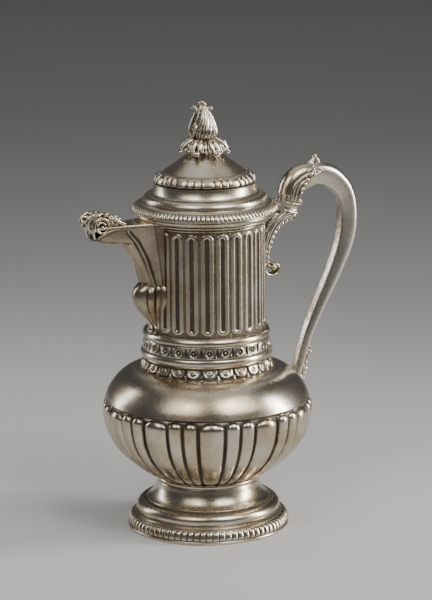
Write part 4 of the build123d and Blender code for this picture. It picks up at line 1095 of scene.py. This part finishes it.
# scroll and leafwork that hide the top of the mouth
sc = Clay()
core = smooth_run([(70.5, 208.7), (72.6, 212.2), (76.2, 215.3), (80.4, 216.9), (84.2, 216.7), (86.9, 214.2), (87.4, 210.6), (86.0, 207.8),
                   (83.5, 206.6), (80.5, 206.8), (77.5, 207.6), (74.0, 208.4)], 60)
sc.slab([(-x, z) for x, z in core], -4.8, 4.8)
for s in (-1, 1):
    t = np.linspace(0, 1, 40)
    ang = np.radians(200) - t * np.radians(760)
    rr = 5.6 * (1 - t) ** 0.85 + 0.45
    sc.stroke([(-(78.7 + r * math.cos(a) * -1.0), (5.3 + 0.9 * u) * s, 209.6 + r * math.sin(a)) for a, r, u in zip(ang, rr, t)],
              [1.45, 1.2, 1.0, 0.8, 0.6], 1.1)
    sc.stroke([(-83.2, 4.9 * s, 216.2), (-85.0, 4.8 * s, 213.6), (-85.2, 4.7 * s, 210.6), (-84.0, 4.6 * s, 208.4)], [1.2, 1.5, 1.5, 1.2])
    sc.bulb((-78.7, 6.0 * s, 209.6), 0.95, (0, 1, 0), 0.8)
    # leaf tail along the plate
    sc.stroke([(-73.4, 5.4 * s, 213.6), (-70.6, 5.9 * s, 213.9), (-68.1, 6.2 * s, 212.6), (-65.0, 6.4 * s, 210.9), (-62.6, 6.4 * s, 209.7)],
              [1.3, 1.5, 1.35, 1.1, 1.2])
    sc.bulb((-62.8, 6.3 * s, 209.8), 1.35)
    for x, z, r in ((72.6, 215.3, 1.25), (69.4, 214.9, 1.3), (66.6, 213.2, 1.25), (71.4, 211.4, 1.3), (68.2, 210.6, 1.15)):
        sc.bulb((-x, 5.2 * s, z), r, (0.7, 0.3 * s, 0.5), 1.3)
    for x0, z0, x1, z1 in ((73.6, 213.2, 72.4, 216.0), (71.0, 213.0, 69.6, 215.6), (68.4, 212.0, 66.6, 213.9), (72.4, 212.0, 70.8, 210.2)):
        sc.stroke([(-x0, 5.9 * s, z0), (-(x0 + x1) / 2, 6.1 * s, (z0 + z1) / 2 + 0.4), (-x1, 5.1 * s, z1)], [0.9, 0.8, 0.55])
    # front curl and the drop beside the mouth
    sc.stroke([(-80.6, 4.9 * s, 217.2), (-84.2, 4.8 * s, 217.5), (-87.2, 4.4 * s, 215.4), (-88.3, 4.0 * s, 212.0), (-87.0, 3.8 * s, 209.0),
               (-84.9, 4.2 * s, 207.2)], [1.1, 1.4, 1.5, 1.45, 1.3, 1.1])
    sc.stroke([(-86.6, 4.4 * s, 213.4), (-85.0, 5.2 * s, 214.6), (-83.6, 5.4 * s, 213.0), (-84.6, 5.2 * s, 211.6)], [1.0, 0.95, 0.8, 0.6])
    sc.stroke([(-84.8, 4.4 * s, 207.8), (-84.4, 4.9 * s, 204.8), (-83.6, 4.7 * s, 202.4)], [1.15, 1.0, 0.8])
    # wave of small lobes over the crest
    for x, z in ((83.0, 217.4), (79.2, 217.7), (75.4, 216.6)):
        sc.bulb((-x, 3.0 * s, z), 1.25, (0, 1, 0), 2.2)
for x, z in ((88.6, 213.4), (86.9, 216.4), (81.2, 217.6), (77.4, 217.5), (73.6, 215.5)):
    sc.bulb((-x, 0, z - 0.3), 1.35, (0, 1, 0), 3.0)
sc.stroke([(-88.0, 0, 212.5), (-88.6, 0, 209.8), (-87.2, 0, 207.6)], [1.6, 1.5, 1.2], 1.6)
sc.fuse("spout_scroll_leafwork", 0.27, "pot", "silver_body", SILVER_CAST, ("spout_scroll",), 1, 0.08, 12, trim=False)

# lobed half-melon under the beak and the bead below it
BOSS = [(139.2, 4.4, 2.8), (143.0, 7.5, 5.3), (148.5, 12.2, 8.9), (153.5, 15.8, 11.6), (157.6, 17.2, 12.9), (160.8, 17.3, 13.0),
        (163.8, 16.6, 12.6), (166.3, 14.8, 11.6), (168.0, 12.6, 10.3), (169.2, 10.0, 8.6), (169.6, 7.0, 6.6)]


def boss():
    pr = smooth_run([(r, w, z) for z, r, w in BOSS], 84)
    n = 200
    th = np.arange(n) * 2 * math.pi / n
    deg = np.degrees(th)
    d = (deg + 180) % 360 - 180                     # 0 towards the spout's front
    ad = np.abs(d)
    cen = np.select([ad < 43, ad < 63, ad < 79], [0.0, 53.0, 71.0], 92.0)
    hw = np.select([ad < 43, ad < 63, ad < 79], [43.0, 10.0, 8.0], 13.0)
    off = np.clip(np.abs(ad - cen) / hw, 0, 1)
    deep = np.select([ad < 43, ad < 63, ad < 79], [1.0, 0.8, 0.55], 0.8)
    base = np.select([ad < 43, ad < 63, ad < 79], [0.0, -0.15, 0.40], -0.10)
    dome = 1 - base - deep * (1 - np.sqrt(np.clip(1 - off ** 2.2, 0, 1)))
    dome = np.where(off >= 1, np.minimum(dome, 0.15), dome)
    amount = np.interp(pr[:, 2], [139, 146, 157, 163, 169.6], [0.08, 0.15, 0.22, 0.19, 0.08])
    f = 1 - amount[:, None] * (1 - dome[None, :])
    X = -36.5 - pr[:, 0][:, None] * np.cos(th) * f
    Y = pr[:, 1][:, None] * np.sin(th) * f
    Z = pr[:, 2][:, None] * np.ones(n)
    P = keep_out(np.stack([X, Y, Z], -1))
    # dark grooves between the lobes, darker at the bead below and under the beak's floor: tarnish with painted shade
    cav = (sstep(off, 0.80, 1.0) * 0.95)[None, :] * np.ones((len(pr), 1))
    cav = np.maximum(cav, 0.5 * (1 - sstep(pr[:, 2], 139.0, 142.5))[:, None])
    cav = np.maximum(cav, 0.7 * sstep(pr[:, 2], 168.0, 169.0)[:, None])
    m = len(pr)
    F = [(i * n + j, i * n + (j + 1) % n, (i + 1) * n + (j + 1) % n, (i + 1) * n + j) for i in range(m - 1) for j in range(n)]
    F += [tuple(range(n))[::-1], tuple((m - 1) * n + j for j in range(n))]
    o = make_object("spout_melon_boss", P.reshape(-1, 3), F, cav.ravel(), "pot", SILVER_BEAK, ("spout_boss",), 50)
    fix_normals(o)


boss()
bd = Clay()
bd.bulb((-41.4, 0, 136.9), 2.35)
bd.stroke([(-40.6, 0, 140.6), (-41.0, 0, 138.8), (-41.4, 0, 137.2)], [1.1, 1.5, 1.7])
for s in (-1, 1):
    bd.stroke([(-39.6, 1.2 * s, 140.2), (-39.6, 3.2 * s, 137.8), (-40.2, 3.4 * s, 135.4), (-41.0, 2.0 * s, 134.2)], [0.7, 0.9, 0.75, 0.5])
bd.fuse("spout_drop_bead", 0.22, "pot", "silver_body", SILVER_CAST, ("spout_bead",), 1, 0.10, 12)

# ---- the finial
FACE = -120.0                                        # the bud's leaning petals face this way


def pol(r, az, z):
    a = math.radians(az)
    return (r * math.cos(a), r * math.sin(a), z)


cx = Clay()
cone = [(2.4, 258.0), (5.0, 258.1), (6.8, 257.4), (9.0, 255.9), (11.0, 253.9), (12.2, 252.2), (11.4, 251.2), (9.4, 252.0), (7.0, 254.2), (5.2, 256.6),
        (2.4, 256.6)]
P = np.array([[pol(r, k * 5.0, z) for r, z in cone] for k in range(72)])
nn = len(cone)
cx.put(P, [(i * nn + j, i * nn + (j + 1) % nn, ((i + 1) % 72) * nn + (j + 1) % nn, ((i + 1) % 72) * nn + j) for i in range(72) for j in range(nn)])
for k in range(7):
    az = -120 - 21 + 51.43 * k
    tang = (-math.sin(math.radians(az)), math.cos(math.radians(az)), 0)
    for s in (-1, 1):
        # two halves of the leaf with the vein sunk between them
        cx.stroke([pol(5.8, az + 6 * s, 258.2), pol(8.8, az + 8 * s, 258.3), pol(11.8, az + 8.5 * s, 256.8), pol(13.9, az + 8 * s, 254.0),
                   pol(15.2, az + 6 * s, 251.3)], [0.9, 1.5, 1.75, 1.55, 1.1], 0.85, up=(0, 0, 1))
        # curled side lobe
        cx.stroke([pol(9.4, az + 16 * s, 256.9), pol(12.0, az + 17 * s, 255.2), pol(13.6, az + 15 * s, 252.6)], [0.8, 1.15, 0.9], 0.9, up=(0, 0, 1))
        cx.bulb(pol(14.0, az + 15.5 * s, 252.2), 1.25)
    # the tip rolls up into a small scroll
    cx.bulb(pol(15.9, az, 250.7), 1.55, tang, 2.2)
    mid = az + 25.7
    cx.stroke([pol(7.2, mid, 257.9), pol(10.2, mid, 256.6), pol(12.4, mid, 253.8), pol(13.0, mid, 251.8)], [0.9, 1.1, 1.0, 0.9], 0.9, up=(0, 0, 1))
    cx.bulb(pol(13.2, mid, 251.2), 1.2)
cx.fuse("finial_leaf_collar", 0.24, "lid", "silver_lid", SILVER_CAST, ("finial_calyx",), 1, 0.035, 14, trim=False)

bu = Clay()
R_BUD = np.array([(257.6, 4.4), (258.4, 6.6), (260.0, 8.3), (262.4, 9.1), (265.2, 9.0), (268.6, 7.9), (272.2, 6.3), (275.4, 4.7), (278.2, 3.4),
                  (280.0, 2.2), (280.8, 1.2)])
zs = np.linspace(257.6, 280.8, 40)
lean = np.interp(zs, [258, 264, 273, 281], [0.0, 0.3, 0.2, -1.0])
RT = np.array([0.866, -0.5])                          # towards the right of the view
def bud_pt(az, z, lift=0.0):
    l = np.interp(z, zs, lean)
    r = np.interp(z, R_BUD[:, 0], R_BUD[:, 1]) * 0.93 + lift
    a = math.radians(az)
    return (r * math.cos(a) + RT[0] * l, r * math.sin(a) + RT[1] * l, z)


def petal_field(az, z):
    """Height and darkening of the wrapped petals, tarnish with painted shade: each stands over the next, with fine long
    veins.
    """
    twist = np.interp(z, [257.6, 264, 272, 281], [0, 9, 24, 34])
    u = ((az - FACE - 30 - twist) % 90) / 90.0       # 0 at the tucked edge, 1 at the free edge
    k = np.interp(z, [257.6, 259.5, 266, 276, 281], [0.2, 0.8, 1.0, 0.8, 0.4])
    h = k * (-0.75 + 1.35 * u ** 1.6) - k * 1.5 * sstep(u, 0.965, 1.0)
    vein = np.cos(2 * math.pi * u * 6.0)
    h = h + 0.20 * k * vein
    # painted shade where each petal tucks under the next and along its free edge; tarnish with painted shade in the
    # veins and at the foot
    c = np.maximum(0.95 * (1 - sstep(u, 0.0, 0.13)), 0.85 * sstep(u, 0.96, 0.985))
    c = np.maximum(c, 0.85 * sstep(-vein, 0.25, 1.0) * np.interp(z, [258, 262, 276, 281], [1.0, 1.0, 0.7, 0.5]))
    c = np.maximum(c, 0.8 * (1 - sstep(z, 258.4, 259.6)))
    return h, c


def bud_object():
    n, m = 288, 96
    z = np.linspace(257.6, 280.8, m)[:, None]
    az = np.linspace(0, 360, n, endpoint=False)[None, :]
    h, c = petal_field(az, z)
    l = np.interp(z, zs, lean)
    r = np.maximum(np.interp(z, R_BUD[:, 0], R_BUD[:, 1]) * 0.96 + h, 0.5)
    X = r * np.cos(np.radians(az)) + RT[0] * l
    Y = r * np.sin(np.radians(az)) + RT[1] * l
    P = np.stack([X, Y, z + 0 * az], -1)
    F = [(i * n + j, i * n + (j + 1) % n, (i + 1) * n + (j + 1) % n, (i + 1) * n + j) for i in range(m - 1) for j in range(n)]
    F += [tuple(range(n))[::-1], tuple((m - 1) * n + j for j in range(n))]
    o = make_object("finial_carved_bud", P.reshape(-1, 3), F, np.broadcast_to(c, (m, n)).ravel(), "lid", SILVER_CAST,
                    ("finial_bud",), 60)
    fix_normals(o)


bud_object()
# the low petal that opens to the left, with its small curl inside
for j in range(5):
    a = 124 + 11 * j
    bu.stroke([bud_pt(a + 8, 258.6, 0.3), bud_pt(a, 262.6, 1.3), bud_pt(a - 4, 267.4, 1.6), bud_pt(a - 5, 271.6, 1.5), bud_pt(a - 3, 275.4, 1.4)],
              [0.55, 0.75, 0.7, 0.6, 0.45])
bu.stroke([bud_pt(-176, 260.5, 1.0), bud_pt(-160, 264.0, 1.6), bud_pt(-156, 267.5, 1.5), bud_pt(-168, 269.2, 1.2), bud_pt(-174, 267.6, 1.1)],
          [0.8, 0.95, 0.85, 0.7, 0.55])


def view_pt(dx, z, toward=0.0):
    return (RT[0] * dx - 0.5 * toward, RT[1] * dx - 0.866 * toward, z)


# curled sepals at the top: a hooked one to each side and a loop between them
bu.stroke([view_pt(-2.6, 273.5, 2.4), view_pt(-4.2, 276.4, 2.0), view_pt(-5.4, 278.6, 1.2), view_pt(-7.0, 279.7, 0.6), view_pt(-7.9, 278.6, 0.3)],
          [1.2, 1.15, 1.0, 0.95, 0.85])
bu.bulb(view_pt(-7.5, 278.9, 0.3), 1.1)
bu.stroke([view_pt(1.4, 275.5, 1.6), view_pt(2.6, 278.0, 1.3), view_pt(4.0, 279.0, 0.8), view_pt(4.9, 277.9, 0.5)], [1.2, 1.1, 1.05, 0.9])
bu.bulb(view_pt(4.5, 278.1, 0.5), 1.15)
bu.stroke([view_pt(-1.6, 277.6, 0.9), view_pt(-3.2, 280.1, 0.6), view_pt(-2.6, 281.9, 0.3), view_pt(-0.9, 282.2, 0.0), view_pt(0.5, 280.8, -0.2),
           view_pt(0.2, 278.4, -0.4)], [1.1, 1.0, 1.0, 1.0, 1.0, 1.0])
bu.stroke([view_pt(-4.0, 276.8, 2.6), view_pt(-2.0, 278.2, 2.5), view_pt(0.6, 277.8, 2.2), view_pt(2.4, 276.6, 1.8)], [0.8, 1.0, 1.0, 0.8])
bu.stroke([view_pt(-1.0, 276.8, -2.4), view_pt(-1.4, 278.9, -3.4), view_pt(-0.6, 279.4, -4.4)], [1.1, 0.95, 0.8])
bu.fuse("finial_bud_curls", 0.22, "lid", "silver_lid", SILVER_CAST, (), 1, 0.06, 12, trim=False)

# ------------------------------------------------------------------ the floor
def studio_floor():
    v, f = [(0, 0, 0)], []
    radii, n = (0.15, 0.4, 1.0, 2.5, 6.0, 14.0), 96
    for r in radii:
        v += [(r * math.cos(2 * math.pi * k / n), r * math.sin(2 * math.pi * k / n), 0) for k in range(n)]
    f += [(0, 1 + k, 1 + (k + 1) % n) for k in range(n)]
    for i in range(len(radii) - 1):
        f += [(1 + i * n + k, 1 + (i + 1) * n + k, 1 + (i + 1) * n + (k + 1) % n, 1 + i * n + (k + 1) % n) for k in range(n)]
    me = bpy.data.meshes.new("studio_floor")
    me.from_pydata(v, [], f)
    o = bpy.data.objects.new("studio_floor", me)
    bpy.context.scene.collection.objects.link(o)
    m = bpy.data.materials.new("pale_paper")
    m.use_nodes = True
    p = m.node_tree.nodes["Principled BSDF"]
    p.inputs["Base Color"].default_value = (0.60, 0.595, 0.58, 1)
    p.inputs["Roughness"].default_value = 0.8
    me.materials.append(m)


studio_floor()


def area(name, az, el, dist, size, power, target=(0, 0, 0.13), col=(1, 1, 1), spread=180):
    """Soft box at azimuth az round the camera's line, looking at the target."""
    from mathutils import Vector
    a, e = math.radians(-30 + az), math.radians(el)
    d = Vector((math.sin(a) * math.cos(e), -math.cos(a) * math.cos(e), math.sin(e)))
    l = bpy.data.lights.new(name, "AREA")
    l.shape = "RECTANGLE"
    l.size, l.size_y = size
    l.energy = power
    l.color = col
    l.spread = math.radians(spread)
    o = bpy.data.objects.new(name, l)
    bpy.context.scene.collection.objects.link(o)
    o.location = Vector(target) + d * dist
    o.rotation_mode = "QUATERNION"
    o.rotation_quaternion = (-d).to_track_quat("-Z", "Y")


area("softbox_left", -32, 44, 1.4, (0.85, 0.80), 1.1, col=(1.0, 0.98, 0.95), spread=80)
area("softbox_right", 42, 46, 1.4, (0.85, 0.80), 2.0, col=(1.0, 0.98, 0.95), spread=80)
area("core_left", -26, 48, 1.5, (0.20, 0.20), 1.5, col=(1.0, 0.99, 0.97))
area("core_right", 34, 50, 1.5, (0.24, 0.24), 2.2, col=(1.0, 0.99, 0.97))
area("strip_right", 90, 14, 1.2, (0.20, 1.0), 2.8, spread=60)
area("strip_left", -116, 16, 1.4, (0.20, 1.0), 0.7, spread=70)
area("overhead", 180, 82, 1.4, (1.6, 1.6), 2.5, spread=120)
area("floor_light", 180, 70, 2.2, (2.0, 1.2), 2.0, target=(1.0, 1.73, 0.0), spread=120)

w = bpy.data.worlds.new("studio")
bpy.context.scene.world = w
w.use_nodes = True
w.node_tree.nodes["Background"].inputs[0].default_value = (0.80, 0.81, 0.83, 1)
w.node_tree.nodes["Background"].inputs[1].default_value = 0.075

# ----------------------------------------------------------------- the camera
cam = bpy.data.cameras.new("camera")
co = bpy.data.objects.new("camera", cam)
bpy.context.scene.collection.objects.link(co)
bpy.context.scene.camera = co
cam.sensor_width = 36
cam.lens = 171.0
cam.clip_start, cam.clip_end = 0.05, 30
az, el, D = math.radians(-30), math.radians(12.9), 1.86675
back = np.array([math.sin(az) * math.cos(el), -math.cos(az) * math.cos(el), math.sin(el)])
T = np.array([0.00567, -0.00328, 0.1513])
co.location = T + back * D
from mathutils import Matrix, Vector
co.rotation_mode = "QUATERNION"
q = (-Vector(back)).to_track_quat("-Z", "Y")
roll = Matrix.Rotation(math.radians(-0.57), 4, "Z")
co.rotation_quaternion = (q.to_matrix().to_4x4() @ roll).to_quaternion()

for n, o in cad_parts.items():
    if not o.hide_render:
        o.data.materials.clear()
        o.data.materials.append(FASTENER if n in ("finial_stud", "finial_nut", "finial_washer", "hinge_pin") else
                                INSIDE if n == "neck_tube" else SILVER_CAST)
        o.data.polygons.foreach_set("use_smooth", np.ones(len(o.data.polygons), bool))
        o.data.set_sharp_from_angle(angle=math.radians(35))
